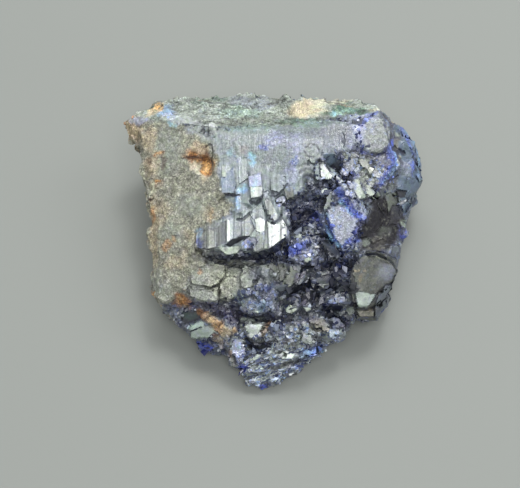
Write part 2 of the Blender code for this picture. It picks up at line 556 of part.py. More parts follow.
def keep_largest_body(made):
    """Drops the small shells that joining and thinning can leave hanging on the mass by an edge or a point."""
    bm = bmesh.new()
    bm.from_mesh(made.data)
    waiting = set(bm.faces)
    bodies = []
    for face in bm.faces:
        if face not in waiting:
            continue
        waiting.discard(face)
        body = [face]
        for member in body:
            for edge in member.edges:
                if len(edge.link_faces) != 2:
                    continue
                for neighbour in edge.link_faces:
                    if neighbour in waiting:
                        waiting.discard(neighbour)
                        body.append(neighbour)
        bodies.append(body)
    bodies.sort(key=len)
    for body in bodies[:-1]:
        bmesh.ops.delete(bm, geom=body, context="FACES")
    bm.to_mesh(made.data)
    bm.free()


def fracture(point, size, tilt, step, seed):
    """How far a point moves out: each cell of the rock breaks on a plane of its own tilt and level."""
    place = point / size + Vector((seed, seed * 1.7, seed * 2.3))
    middle = noise.voronoi(place)[1][0]
    turn = noise.cell_vector(middle * 7.31)
    level = noise.cell(middle * 5.77)
    return (place - middle).dot(turn) * size * tilt + level * step


def break_up_kept(place, normal):
    """The share of the break-up that the surface has here: less on the faces that stayed whole."""
    kept = 1.0
    for middle_x, middle_y, half_width, half_depth, share in WHOLE_FACES:
        reach = math.hypot((place.x - middle_x) / half_width, (place.y - middle_y) / half_depth)
        inside = min(max((1.25 - reach) / 0.4, 0.0), 1.0) * min(max(normal.z * 2.0, 0.0), 1.0)
        kept = min(kept, 1.0 - inside * (1.0 - share))
    return kept


def break_up(made):
    """Moves the surface of the mass onto small fracture faces."""
    mesh = made.data
    places = [v.co.copy() for v in mesh.vertices]
    outward = [v.normal.copy() for v in mesh.vertices]
    for vert, place, normal in zip(mesh.vertices, places, outward):
        move = sum(fracture(place, *layer) for layer in FRACTURES)
        vert.co = place + normal * move * break_up_kept(place, normal)
    mesh.update()


def cut_base(made):
    """Cuts the mass off flat on the plane that it rests on."""
    bm = bmesh.new()
    bm.from_mesh(made.data)
    cut = bmesh.ops.bisect_plane(
        bm, geom=list(bm.verts) + list(bm.edges) + list(bm.faces),
        plane_co=(0, 0, 0), plane_no=(0, 0, 1), clear_inner=True,
    )
    rim = [g for g in cut["geom_cut"] if isinstance(g, bmesh.types.BMEdge)]
    bmesh.ops.triangle_fill(bm, edges=rim, use_beauty=True, normal=(0, 0, -1))
    bmesh.ops.recalc_face_normals(bm, faces=list(bm.faces))
    bm.to_mesh(made.data)
    bm.free()


def azurite_material():
    material = bpy.data.materials.new("azurite")
    material.use_nodes = True
    shader = material.node_tree.nodes["Principled BSDF"]
    shader.inputs["Base Color"].default_value = BLOCK_COLOUR
    shader.inputs["Roughness"].default_value = BLOCK_ROUGHNESS
    return material


# ---------------------------------------------------------------- the specimen
for leftover in list(bpy.data.objects):
    bpy.data.objects.remove(leftover)

parts = bpy.data.collections.new("azurite_specimen")
bpy.context.scene.collection.children.link(parts)
blocks = bpy.data.collections.new("rock_blocks")
clefts = bpy.data.collections.new("rock_clefts")
prisms = bpy.data.collections.new("crystals")

specimen = hull(
    "azurite_specimen",
    [Vector((x, y, -BURIED)) for x, y in CORE_FOOT]
    + [Vector((x, y, WAIST_HEIGHT)) for x, y in CORE_WAIST]
    + [Vector((x, y, SHOULDER_HEIGHT)) for x, y in CORE_SHOULDER],
    parts,
)
for group in ROCK:
    for block_name, (top_spots, foot_height, foot_size, foot_move) in group.items():
        block(block_name, top_spots, foot_height, foot_size, foot_move, blocks)
for cleft_name, (top_spots, foot_height, foot_size, foot_move) in CLEFTS.items():
    block(cleft_name, top_spots, foot_height, foot_size, foot_move, clefts)
for crystal_name, (root_spot, end_spot, width, thickness, roll) in CRYSTALS.items():
    crystal(crystal_name, root_spot, end_spot, width, thickness, roll, prisms)

combine(specimen, "UNION", blocks)
combine(specimen, "DIFFERENCE", clefts)
grain = specimen.modifiers.new("grain", "REMESH")
grain.mode = "VOXEL"
grain.voxel_size = GRAIN_SIZE
apply_modifiers(specimen)
keep_largest_body(specimen)
break_up(specimen)
thin = specimen.modifiers.new("thin", "DECIMATE")
thin.ratio = MASS_TRIANGLES / (2 * len(specimen.data.polygons))
apply_modifiers(specimen)
cut_base(specimen)
combine(specimen, "UNION", prisms)
keep_largest_body(specimen)

for helper in list(blocks.objects) + list(clefts.objects) + list(prisms.objects):
    bpy.data.objects.remove(helper)

corners = np.array([v.co[:] for v in specimen.data.vertices])
middle_x, middle_y, _ = (corners.min(0) + corners.max(0)) / 2
specimen.data.transform(Matrix.Scale(MM, 4) @ Matrix.Translation((-middle_x, -middle_y, 0)))
specimen.data.materials.clear()
specimen.data.materials.append(azurite_material())
print("moved to the middle by", round(-middle_x, 3), round(-middle_y, 3), "mm")
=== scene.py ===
"""Looks of a hand-sized azurite specimen: crystals, weathered rock, limonite and malachite on one lump."""

import math

import bmesh
import bpy
import numpy as np
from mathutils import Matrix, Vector, noise


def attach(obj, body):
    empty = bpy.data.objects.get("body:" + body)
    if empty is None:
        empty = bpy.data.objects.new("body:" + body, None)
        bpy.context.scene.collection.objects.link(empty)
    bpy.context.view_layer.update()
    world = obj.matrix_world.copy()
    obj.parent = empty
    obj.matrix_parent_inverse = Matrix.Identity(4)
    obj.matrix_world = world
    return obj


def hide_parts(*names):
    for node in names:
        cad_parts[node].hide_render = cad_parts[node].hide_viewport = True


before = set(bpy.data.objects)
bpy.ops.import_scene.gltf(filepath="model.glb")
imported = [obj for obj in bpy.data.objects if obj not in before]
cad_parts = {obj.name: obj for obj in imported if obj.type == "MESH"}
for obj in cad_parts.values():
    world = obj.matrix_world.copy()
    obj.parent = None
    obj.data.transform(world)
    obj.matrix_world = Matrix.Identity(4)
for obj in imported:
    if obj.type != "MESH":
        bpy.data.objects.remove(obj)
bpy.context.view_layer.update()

# ---------------------------------------------------------------- the eye, the table and the light
# The specimen lies on a plain pale table and is seen from the front, well above. A wide soft window stands
# behind it and to the right, so that faces that lie level mirror the window and steep front faces stay dark.
MM = 0.001
PICTURE_WIDE = 520
PICTURE_HIGH = 488
SENSOR_WIDE = 36.0
FOCAL_LENGTH = 1154.0  # in picture squares
EYE_DISTANCE = 200.0 * MM
EYE_ELEVATION = math.radians(60.0)
EYE_AIM = Vector((-0.046, -0.598, 8.0)) * MM
SHEET_MIDDLE = (274.5, 242.0)  # the picture square that lies over EYE_AIM

LOOK = Vector((0.0, math.cos(EYE_ELEVATION), -math.sin(EYE_ELEVATION)))
UPWARD = Vector((0.0, math.sin(EYE_ELEVATION), math.cos(EYE_ELEVATION)))
EYE = EYE_AIM - LOOK * EYE_DISTANCE

scene = bpy.context.scene
camera_data = bpy.data.cameras.new("eye")
camera_data.sensor_fit = "HORIZONTAL"
camera_data.sensor_width = SENSOR_WIDE
camera_data.lens = SENSOR_WIDE * FOCAL_LENGTH / PICTURE_WIDE
camera_data.shift_x = (PICTURE_WIDE / 2 - SHEET_MIDDLE[0]) / PICTURE_WIDE
camera_data.shift_y = (SHEET_MIDDLE[1] - PICTURE_HIGH / 2) / PICTURE_WIDE
camera_data.clip_start = 10.0 * MM
camera = bpy.data.objects.new("eye", camera_data)
camera.location = EYE
camera.rotation_euler = LOOK.to_track_quat("-Z", "Y").to_euler()
scene.collection.objects.link(camera)
scene.camera = camera

LIGHT_DISTANCE = 0.60
SOFT_LIGHTS = (  # name, azimuth and elevation in degrees, width and height in metres, power in watts
    ("window", 10, 60, 0.44, 0.36, 1.94),
    ("lamp", 22, 64, 0.12, 0.12, 0.8),
    ("ceiling", 172, 64, 0.34, 0.28, 1.6),
    ("side", 78, 46, 0.24, 0.24, 0.45),
)
ROOM_COLOUR = (0.98, 1.0, 1.0, 1.0)
ROOM_LIGHT = 0.44
TABLE_HALF_WIDTH = 1.5
TABLE_COLOUR = (0.258, 0.273, 0.256, 1.0)
TABLE_ROUGHNESS = 0.75


def soft_light(name, azimuth, elevation, wide, high, power):
    """A soft box that faces the specimen. Azimuth 0 is behind it, and grows towards the right."""
    light = bpy.data.lights.new(name, "AREA")
    light.shape = "RECTANGLE"
    light.size = wide
    light.size_y = high
    light.energy = power
    lamp = bpy.data.objects.new(name, light)
    turn, rise = math.radians(azimuth), math.radians(elevation)
    away = Vector((math.sin(turn) * math.cos(rise), math.cos(turn) * math.cos(rise), math.sin(rise)))
    lamp.location = EYE_AIM + away * LIGHT_DISTANCE
    lamp.rotation_euler = (-away).to_track_quat("-Z", "Y").to_euler()
    scene.collection.objects.link(lamp)


for setting in SOFT_LIGHTS:
    soft_light(*setting)

world = bpy.data.worlds.new("room")
world.use_nodes = True
world.node_tree.nodes["Background"].inputs["Color"].default_value = ROOM_COLOUR
world.node_tree.nodes["Background"].inputs["Strength"].default_value = ROOM_LIGHT
scene.world = world
scene.view_settings.view_transform = "Standard"

table_mesh = bpy.data.meshes.new("table")
table_sketch = bmesh.new()
bmesh.ops.create_grid(table_sketch, x_segments=1, y_segments=1, size=TABLE_HALF_WIDTH)
table_sketch.to_mesh(table_mesh)
table_sketch.free()
table = bpy.data.objects.new("table", table_mesh)
scene.collection.objects.link(table)
table_finish = bpy.data.materials.new("table_finish")
table_finish.use_nodes = True
table_shader = table_finish.node_tree.nodes["Principled BSDF"]
table_shader.inputs["Base Color"].default_value = TABLE_COLOUR
table_shader.inputs["Roughness"].default_value = TABLE_ROUGHNESS
table_mesh.materials.append(table_finish)


# ---------------------------------------------------------------- the lump itself
# One broken piece of rock: dark azurite, grown through with weathered matrix, and split along small faces.
# Its fine surface is measured anew from the solid, then split, faced, grooved and cracked.
GRAIN = 0.20 * MM
MERGE_DISTANCE = 0.002 * MM
LUMP_TRIANGLES = 193000
RESTING_FACE = 2.5 * MM


def add(tree, kind, feeds=None, **settings):
    """Adds a node. Feeds names its inputs and gives each a socket to link or a value to hold."""
    made = tree.nodes.new(kind)
    for name, value in settings.items():
        setattr(made, name, value)
    for name, value in (feeds or {}).items():
        if isinstance(value, bpy.types.NodeSocket):
            tree.links.new(value, made.inputs[name])
        else:
            made.inputs[name].default_value = value
    return made


def calc(tree, operation, first, second=0.0, third=None):
    feeds = {0: first, 1: second}
    if third is not None:
        feeds[2] = third
    return add(tree, "ShaderNodeMath", feeds, operation=operation).outputs[0]


def span(tree, value, low, high, low_out=0.0, high_out=1.0):
    made = add(tree, "ShaderNodeMapRange", {0: value, 1: low, 2: high, 3: low_out, 4: high_out})
    return made.outputs[0]


def plain_mesh(made):
    """The object's mesh with all its modifiers worked in."""
    bpy.context.view_layer.update()
    graph = bpy.context.evaluated_depsgraph_get()
    mesh = bpy.data.meshes.new_from_object(made.evaluated_get(graph))
    mesh.validate()
    made.modifiers.clear()
    made.data = mesh
    return mesh


def points_of(mesh):
    found = np.empty(len(mesh.vertices) * 3, np.float32)
    mesh.vertices.foreach_get("co", found)
    return found.reshape(-1, 3).astype(np.float64)


def normals_of(mesh):
    found = np.empty(len(mesh.vertices) * 3, np.float32)
    mesh.vertex_normals.foreach_get("vector", found)
    return found.reshape(-1, 3).astype(np.float64)


VIEW_SQUARE = 2.0  # picture squares, each of which holds a few points of the surface


def sight_to(points):
    """The direction in which the eye sees each point."""
    away = points - np.array(EYE)
    return away / np.linalg.norm(away, axis=1)[:, None]


def on_sheet(points):
    """Squares across and down at which the eye sees the points."""
    away = points - np.array(EYE)
    depth = away @ np.array(LOOK)
    across = SHEET_MIDDLE[0] + FOCAL_LENGTH * away[:, 0] / depth
    down = SHEET_MIDDLE[1] - FOCAL_LENGTH * (away @ np.array(UPWARD)) / depth
    return across, down


def ease(value, low, high):
    t = np.clip((value - low) / (high - low), 0.0, 1.0)
    return t * t * (3.0 - 2.0 * t)


def in_view(points, normals):
    """1 where the eye sees the surface, 0 where it is turned away or something lies in front of it."""
    across, down = on_sheet(points)
    depth = np.linalg.norm(points - np.array(EYE), axis=1)
    turned = ease(-(sight_to(points) * normals).sum(1), -0.05, 0.15)
    square_x = (across / VIEW_SQUARE).astype(int)
    square_y = (down / VIEW_SQUARE).astype(int)
    nearest = np.full((square_x.max() + 1, square_y.max() + 1), 1e9)
    np.minimum.at(nearest, (square_x, square_y), depth)
    return turned * (1.0 - ease(depth - nearest[square_x, square_y], 0.7 * MM, 1.3 * MM))


def wobble(points, size, seed):
    """Smooth noise about 0 for each point, with features of about the size."""
    place = Vector((seed * 1.3, seed * 2.1, seed * 0.7))
    return np.array([noise.noise(Vector(p) / size + place) for p in points])


def from_edge(across, down, outline, closed=True):
    """Squares from each place to the outline, and whether it is inside."""
    corners = np.array(outline, float)
    ends = np.roll(corners, -1, 0)
    if not closed:
        corners, ends = corners[:-1], ends[:-1]
    nearest = np.full(across.shape, 1e9)
    inside = np.zeros(across.shape, bool)
    for (x0, y0), (x1, y1) in zip(corners, ends):
        run_x, run_y = x1 - x0, y1 - y0
        along = np.clip(((across - x0) * run_x + (down - y0) * run_y) / (run_x ** 2 + run_y ** 2), 0, 1)
        nearest = np.minimum(nearest, np.hypot(across - x0 - along * run_x, down - y0 - along * run_y))
        if y0 != y1:
            inside ^= ((y0 > down) != (y1 > down)) & (across < run_x * (down - y0) / run_y + x0)
    return nearest, inside


def area(across, down, outline, soft=3.0):
    """1 inside the outline on the sheet, falling to 0 over the soft margin at its edge."""
    nearest, inside = from_edge(across, down, outline)
    return 1.0 - ease(np.where(inside, -nearest, nearest), -soft * 0.5, soft * 0.5)


def shown(outline, amount=1.0, soft=3.0):
    """The same for the points in hand, times the amount, and 0 where the eye doesn't see them."""
    return area(across, down, outline, soft) * amount * seen


def most_of(*amounts):
    return np.maximum.reduce(amounts)


def spot(x, y, middle_x, middle_y, half_wide, half_high, turn=0.0):
    """A soft oval patch on the sheet."""
    c, s = math.cos(math.radians(turn)), math.sin(math.radians(turn))
    x, y = x - middle_x, y - middle_y
    return 1.0 - ease(np.hypot((x * c + y * s) / half_wide, (-x * s + y * c) / half_high), 0.5, 1.3)


def keep(mesh, name, values):
    """Gives each point a number or a colour under the name."""
    values = np.ascontiguousarray(values, np.float32)
    if values.ndim == 1:
        mesh.attributes.new(name, "FLOAT", "POINT").data.foreach_set("value", values)
    else:
        solid = np.hstack([values, np.ones((len(values), 1), np.float32)])
        mesh.attributes.new(name, "FLOAT_COLOR", "POINT").data.foreach_set("color", solid.ravel())


def edge_ends(mesh):
    ends = np.empty(len(mesh.edges) * 2, np.int32)
    mesh.edges.foreach_get("vertices", ends)
    return ends.reshape(-1, 2)


def levelled(values, ends, times):
    """Each row of values drawn towards the mean of its neighbours along the edges, so many times over."""
    links = np.maximum(np.bincount(ends.ravel(), minlength=len(values)).astype(float), 1.0)[:, None]
    joined = np.bincount(ends.ravel(), minlength=len(values)) > 0
    for _ in range(times):
        total = np.zeros_like(values)
        for axis in range(values.shape[1]):
            total[:, axis] = (np.bincount(ends[:, 0], values[ends[:, 1], axis], len(values))
                              + np.bincount(ends[:, 1], values[ends[:, 0], axis], len(values)))
        values = np.where(joined[:, None], total / links, values)
    return values


def kept(mesh, name):
    """The number that each point carries under the name, which is taken off the mesh."""
    values = np.empty(len(mesh.vertices), np.float32)
    mesh.attributes[name].data.foreach_get("value", values)
    mesh.attributes.remove(mesh.attributes[name])
    return values.astype(np.float64)


# Outlines of the main kinds of surface, in picture squares across and down
WEATHERED_SLAB = [
    (122, 117), (134, 114), (152, 121), (176, 124), (196, 130), (216, 141), (217, 160), (220, 182),
    (223, 196), (236, 204), (228, 215), (216, 220), (204, 223), (196, 231), (199, 252), (206, 258),
    (203, 272), (186, 284), (180, 292), (170, 305), (152, 305), (146, 270), (146, 215), (136, 165),
    (120, 140),
]
FRONT_BLOCKS = [
    (206, 262), (228, 261), (262, 263), (282, 264), (284, 280), (262, 282), (244, 288), (232, 292),
    (222, 302), (196, 300), (182, 292), (188, 282), (204, 272),
]
CORNER_BLOCK = [
    (350, 269), (360, 258), (370, 251), (383, 253), (397, 260), (397, 280), (391, 294), (380, 321),
    (357, 319), (352, 300), (351, 280),
]
BACK_BAND = [
    (120, 116), (146, 102), (180, 93), (265, 88), (345, 92), (390, 102), (378, 111), (340, 117),
    (300, 124), (262, 128), (222, 126), (180, 124), (150, 122),
]
SHEET = [
    (214, 132), (262, 126), (330, 122), (352, 118), (356, 150), (340, 152), (318, 152), (314, 170),
    (300, 192), (282, 205), (262, 196), (250, 208), (238, 214), (222, 196), (218, 165),
]
CRYSTAL_ROW = [
    (196, 228), (207, 223), (218, 220), (228, 216), (236, 210), (247, 206), (262, 197), (284, 204),
    (288, 230), (284, 248), (262, 256), (240, 250), (218, 252), (198, 252),
]
FILLED_PIT = [(218, 192), (238, 194), (238, 208), (226, 214), (216, 210)]
SHEET_TOP = [
    (217, 136), (262, 129), (330, 124), (352, 120), (356, 148), (340, 151), (318, 152), (312, 166),
    (300, 186), (286, 172), (262, 168), (248, 152), (238, 158), (222, 162),
]
WEDGE = [
    (330, 206), (340, 205), (352, 215), (357, 220), (355, 228), (351, 238), (341, 246), (336, 242),
    (331, 230), (327, 220),
]
SMOOTH_DOME = [
    (366, 124), (371, 117), (378, 112), (385, 118), (391, 134), (389, 148), (380, 153), (370, 151),
    (364, 143),
]
DOME_FOOT = [(348, 113), (371, 113), (365, 130), (368, 150), (350, 150), (347, 130)]
DARK_SLOPE = [
    (364, 202), (382, 196), (398, 202), (404, 216), (402, 230), (392, 246), (374, 254), (362, 250),
    (360, 236), (366, 222),
]
RIGHT_RIM = [
    (394, 118), (410, 126), (424, 146), (428, 178), (418, 202), (404, 208), (398, 190), (402, 160),
    (396, 140),
]
BAND_FILL = 2.2 * MM
RIDGE_FILL = 1.4 * MM  # the ridge that runs from the white crystal down to the wedge
CLAY = [(288, 113), (303, 100), (314, 95), (326, 97), (330, 106), (318, 116), (300, 119)]
WEDGE_EDGE = [(317, 206), (331, 205), (330, 232), (344, 250), (354, 246), (352, 264), (340, 262), (322, 238)]
SLAB_CORNER = [(182, 119), (216, 121), (217, 141), (204, 139)]
BANK_FOOT = [(326, 168), (352, 166), (372, 186), (378, 204), (364, 220), (352, 196), (332, 196)]
VALLEY = [
    (290, 206), (304, 202), (318, 186), (330, 180), (326, 194), (320, 212), (312, 224), (300, 234),
    (288, 234),
]
PALE_FACE = [(239, 320), (243, 315), (264, 316), (268, 322), (263, 331), (257, 339), (246, 336), (241, 328)]
TEAL_FACE = [(185, 327), (200, 319), (208, 321), (217, 331), (210, 340), (190, 341)]
JUMBLE = [
    (280, 264), (302, 262), (326, 262), (350, 258), (354, 280), (354, 316), (300, 318), (278, 312),
    (276, 290),
]
DRUSE_BANK = [(343, 154), (390, 151), (400, 160), (394, 186), (376, 190), (352, 184), (342, 170)]
LOBE = [
    (226, 336), (243, 332), (262, 322), (300, 315), (340, 312), (352, 322), (342, 340), (322, 356),
    (298, 372), (264, 393), (244, 387), (228, 366),
]
LOBE_TIP = [(232, 352), (262, 350), (300, 346), (322, 350), (318, 358), (298, 372), (264, 392), (244, 386)]
MID_LUMP = [(286, 252), (292, 240), (305, 237), (316, 242), (324, 258), (322, 268), (302, 268), (289, 258)]
FRONT_DRUSE = [
    (234, 293), (249, 288), (264, 281), (277, 285), (278, 305), (269, 314), (256, 314), (247, 309),
    (234, 305),
]
DARK_LEDGE = [
    (188, 300), (209, 301), (221, 306), (234, 306), (247, 315), (243, 322), (241, 330), (234, 326),
    (218, 316), (205, 309), (190, 307),
]

lump = bpy.data.objects.new("azurite_lump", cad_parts["azurite_specimen"].data.copy())
scene.collection.objects.link(lump)
merged = bmesh.new()
merged.from_mesh(lump.data)
bmesh.ops.remove_doubles(merged, verts=list(merged.verts), dist=MERGE_DISTANCE)
merged.to_mesh(lump.data)
merged.free()
lump.data.materials.clear()
measured = lump.modifiers.new("measured", "REMESH")
measured.mode = "VOXEL"
measured.voxel_size = GRAIN
plain_mesh(lump)

# How strongly each kind of surface is split into faces
points, normals = points_of(lump.data), normals_of(lump.data)
across, down = on_sheet(points)
seen = in_view(points, normals)
CALM = (
    (WEATHERED_SLAB, 0.88), (SHEET, 0.9), (CRYSTAL_ROW, 1.0), (SMOOTH_DOME, 0.95), (CORNER_BLOCK, 0.8),
    (BACK_BAND, 0.6), (FRONT_BLOCKS, 0.15), (CLAY, 0.95), (DOME_FOOT, 1.0), (DARK_SLOPE, 0.5),
    (RIGHT_RIM, 0.4),
)
RIGHT_SIDE = (14 * MM, 18 * MM)  # where the broken ground gives way to the smoother right side
right_side = ease(points[:, 0], *RIGHT_SIDE)
underside = ease(-normals[:, 2], 0.9, 0.98)
calm = most_of(right_side * 0.65, underside, *(shown(outline, amount) for outline, amount in CALM))
keep(lump.data, "split", 1.0 - calm)
keep(lump.data, "druse", most_of(shown(DRUSE_BANK), shown(MID_LUMP), shown(FRONT_DRUSE), shown(LOBE, 0.9)))
CRACK_SHADE = 0.35


def own_lean(tree, place, cells):
    """For each cell a turn of its own, and the height that this gives every place on it."""
    reach = add(tree, "ShaderNodeVectorMath", {0: place, 1: cells.outputs["Position"]}, operation="SUBTRACT")
    turn = add(tree, "ShaderNodeVectorMath", {0: cells.outputs["Color"], 1: (0.5, 0.5, 0.5)},
               operation="SUBTRACT").outputs[0]
    lean = add(tree, "ShaderNodeVectorMath", {0: reach.outputs[0], 1: turn}, operation="DOT_PRODUCT")
    return turn, lean.outputs["Value"]


def fracture_group():
    """Splits a surface into small faces, each with its own tilt and level, and a crack between them."""
    tree = bpy.data.node_groups.new("split_faces", "GeometryNodeTree")
    tree.interface.new_socket(name="Geometry", in_out="INPUT", socket_type="NodeSocketGeometry")
    for name in ("Face Size", "Tilt", "Step", "Crack Width", "Crack Depth", "Amount", "Seed"):
        tree.interface.new_socket(name=name, in_out="INPUT", socket_type="NodeSocketFloat")
    tree.interface.new_socket(name="Geometry", in_out="OUTPUT", socket_type="NodeSocketGeometry")
    given = tree.nodes.new("NodeGroupInput").outputs
    result = tree.nodes.new("NodeGroupOutput")
    place = add(tree, "GeometryNodeInputPosition").outputs[0]
    shift = add(tree, "ShaderNodeVectorMath", {0: place, 1: given["Seed"]}, operation="ADD").outputs[0]
    scale = calc(tree, "DIVIDE", 1.0, given["Face Size"])
    cells = add(tree, "ShaderNodeTexVoronoi", {"Vector": shift, "Scale": scale})
    turn, lean = own_lean(tree, shift, cells)
    own = add(tree, "ShaderNodeSeparateXYZ", {0: turn}).outputs["X"]
    leaned = calc(tree, "MULTIPLY", lean, given["Tilt"])
    raised = calc(tree, "MULTIPLY_ADD", own, given["Step"], leaned)
    borders = add(tree, "ShaderNodeTexVoronoi", {"Vector": shift, "Scale": scale}, feature="DISTANCE_TO_EDGE")
    gap = calc(tree, "DIVIDE", calc(tree, "MULTIPLY", borders.outputs["Distance"], given["Face Size"]),
               given["Crack Width"])
    crack = calc(tree, "MAXIMUM", calc(tree, "SUBTRACT", 1.0, gap), 0.0)
    sunk = calc(tree, "SUBTRACT", raised, calc(tree, "MULTIPLY", crack, given["Crack Depth"]))
    move = calc(tree, "MULTIPLY", sunk, given["Amount"])
    normal = add(tree, "GeometryNodeInputNormal").outputs[0]
    offset = add(tree, "ShaderNodeVectorMath", {0: normal, "Scale": move}, operation="SCALE").outputs[0]
    before = add(tree, "GeometryNodeInputNamedAttribute", {"Name": "crack"}).outputs["Attribute"]
    faint = calc(tree, "MULTIPLY", calc(tree, "MULTIPLY", crack, given["Amount"]), CRACK_SHADE)
    both = calc(tree, "MAXIMUM", before, faint)
    marked = add(tree, "GeometryNodeStoreNamedAttribute", {"Geometry": given["Geometry"], "Name": "crack",
                                                           "Value": both})
    moved = add(tree, "GeometryNodeSetPosition", {"Geometry": marked.outputs[0], "Offset": offset})
    tree.links.new(moved.outputs[0], result.inputs[0])
    return tree


RELIEF = (  # face size, tilt, step, width and depth of the crack, where it acts, and seed
    ("Broken Face", 2.7 * MM, 0.36, 0.42 * MM, 0.16 * MM, 0.12 * MM, "split", 0.013),
    ("Small Face", 1.25 * MM, 0.42, 0.24 * MM, 0.10 * MM, 0.05 * MM, "split", 0.029),
    ("Crystal Face", 0.8 * MM, 0.55, 0.16 * MM, 0.08 * MM, 0.02 * MM, "druse", 0.047),
)


def relief_tree():
    """The fine surface of the lump: broken faces in three sizes."""
    tree = bpy.data.node_groups.new("lump_surface", "GeometryNodeTree")
    tree.interface.new_socket(name="Geometry", in_out="INPUT", socket_type="NodeSocketGeometry")
    for name, *_ in RELIEF:
        tree.interface.new_socket(name=name, in_out="INPUT", socket_type="NodeSocketFloat")
    tree.interface.new_socket(name="Finish", in_out="INPUT", socket_type="NodeSocketMaterial")
    tree.interface.new_socket(name="Geometry", in_out="OUTPUT", socket_type="NodeSocketGeometry")
    given = tree.nodes.new("NodeGroupInput").outputs
    result = tree.nodes.new("NodeGroupOutput")
    faces = fracture_group()
    flow = given["Geometry"]
    for size, _, tilt, step, crack_wide, crack_deep, where, seed in RELIEF:
        amount = add(tree, "GeometryNodeInputNamedAttribute", {"Name": where}).outputs["Attribute"]
        layer = add(tree, "GeometryNodeGroup", {
            "Geometry": flow, "Face Size": given[size], "Tilt": tilt, "Step": step, "Crack Width": crack_wide,
            "Crack Depth": crack_deep, "Amount": amount, "Seed": seed}, node_tree=faces)
        flow = layer.outputs[0]
    real = add(tree, "GeometryNodeRealizeInstances", {0: flow})
    finished = add(tree, "GeometryNodeSetMaterial", {"Geometry": real.outputs[0],
                                                     "Material": given["Finish"]})
    tree.links.new(finished.outputs[0], result.inputs[0])
    return tree


def work_in(made, tree, values):
    """Sets the tree's inputs by name, then turns what it makes into the object's own plain mesh."""
    worker = made.modifiers.new(tree.name, "NODES")
    worker.node_group = tree
    for socket in tree.interface.items_tree:
        if socket.in_out == "INPUT" and socket.name in values:
            worker[socket.identifier] = values[socket.name]
    plain_mesh(made)


rock_finish = bpy.data.materials.new("azurite_rock")
work_in(lump, relief_tree(), {"Finish": rock_finish} | {name: size for name, size, *_ in RELIEF})

# Each mineral and finish: the colour of its clean face, how earthy it is, and how much it sparkles.
# The near-white finish is a painted highlight; black, navy and plum also serve as painted shade in clefts and
# holes.
MINERALS = {
    "deep": ((0.095, 0.103, 0.140), 0.0, 0.5), "slate": ((0.080, 0.088, 0.108), 0.0, 0.1),
    "steel": ((0.235, 0.262, 0.275), 0.0, 0.1), "blue_grey": ((0.135, 0.175, 0.235), 0.0, 0.1),
    "dome": ((0.245, 0.255, 0.262), 0.4, 0.3), "grey": ((0.250, 0.264, 0.258), 0.1, 0.3),
    "pale": ((0.42, 0.44, 0.42), 0.0, 0.1), "white_glint": ((0.60, 0.61, 0.60), 0.0, 0.0),
    "pale_green": ((0.27, 0.30, 0.255), 0.1, 0.1), "lavender": ((0.27, 0.285, 0.41), 0.0, 0.2),
    "lilac": ((0.26, 0.27, 0.34), 0.0, 0.7), "lilac_pale": ((0.36, 0.40, 0.48), 0.0, 0.7),
    "violet": ((0.13, 0.13, 0.24), 0.0, 0.9), "plum": ((0.072, 0.066, 0.098), 0.0, 0.5),
    "wedge": ((0.32, 0.335, 0.40), 0.3, 0.5), "vivid": ((0.105, 0.140, 0.42), 0.0, 0.7),
    "vivid_deep": ((0.036, 0.050, 0.21), 0.0, 0.6), "sky": ((0.20, 0.33, 0.52), 0.0, 0.4),
    "turquoise": ((0.28, 0.52, 0.62), 0.0, 0.3), "navy": ((0.028, 0.034, 0.070), 0.0, 0.2),
    "black": ((0.022, 0.024, 0.034), 0.1, 0.2), "olive": ((0.125, 0.133, 0.115), 0.2, 0.2),
    "teal_grey": ((0.225, 0.260, 0.236), 0.1, 0.1), "teal_pale": ((0.28, 0.34, 0.31), 0.1, 0.1),
    "corner": ((0.078, 0.080, 0.071), 0.4, 0.3), "corner_smooth": ((0.135, 0.142, 0.160), 0.0, 0.05),
    "slope": ((0.015, 0.014, 0.019), 0.85, 0.1), "tan_grey": ((0.21, 0.195, 0.165), 0.5, 0.2),
    "tan_pale": ((0.36, 0.30, 0.25), 0.4, 0.2), "slab": ((0.252, 0.247, 0.199), 1.0, 0.1),
    "rock": ((0.262, 0.272, 0.250), 0.8, 0.0), "rock_light": ((0.33, 0.33, 0.265), 0.9, 0.1),
    "band": ((0.29, 0.315, 0.28), 0.9, 0.1), "brown": ((0.26, 0.200, 0.135), 1.0, 0.1),
    "rust": ((0.40, 0.180, 0.055), 1.0, 0.1), "rust_dark": ((0.070, 0.026, 0.012), 1.0, 0.1),
    "amber": ((0.62, 0.36, 0.14), 1.0, 0.1), "tan": ((0.42, 0.33, 0.22), 1.0, 0.1),
    "clay": ((0.46, 0.44, 0.335), 0.6, 0.0), "cream": ((0.54, 0.455, 0.33), 0.6, 0.0),
    "green": ((0.055, 0.120, 0.085), 0.8, 0.3), "mint": ((0.24, 0.36, 0.29), 0.8, 0.3),
    "druse": ((0.238, 0.254, 0.262), 0.0, 1.0),
}
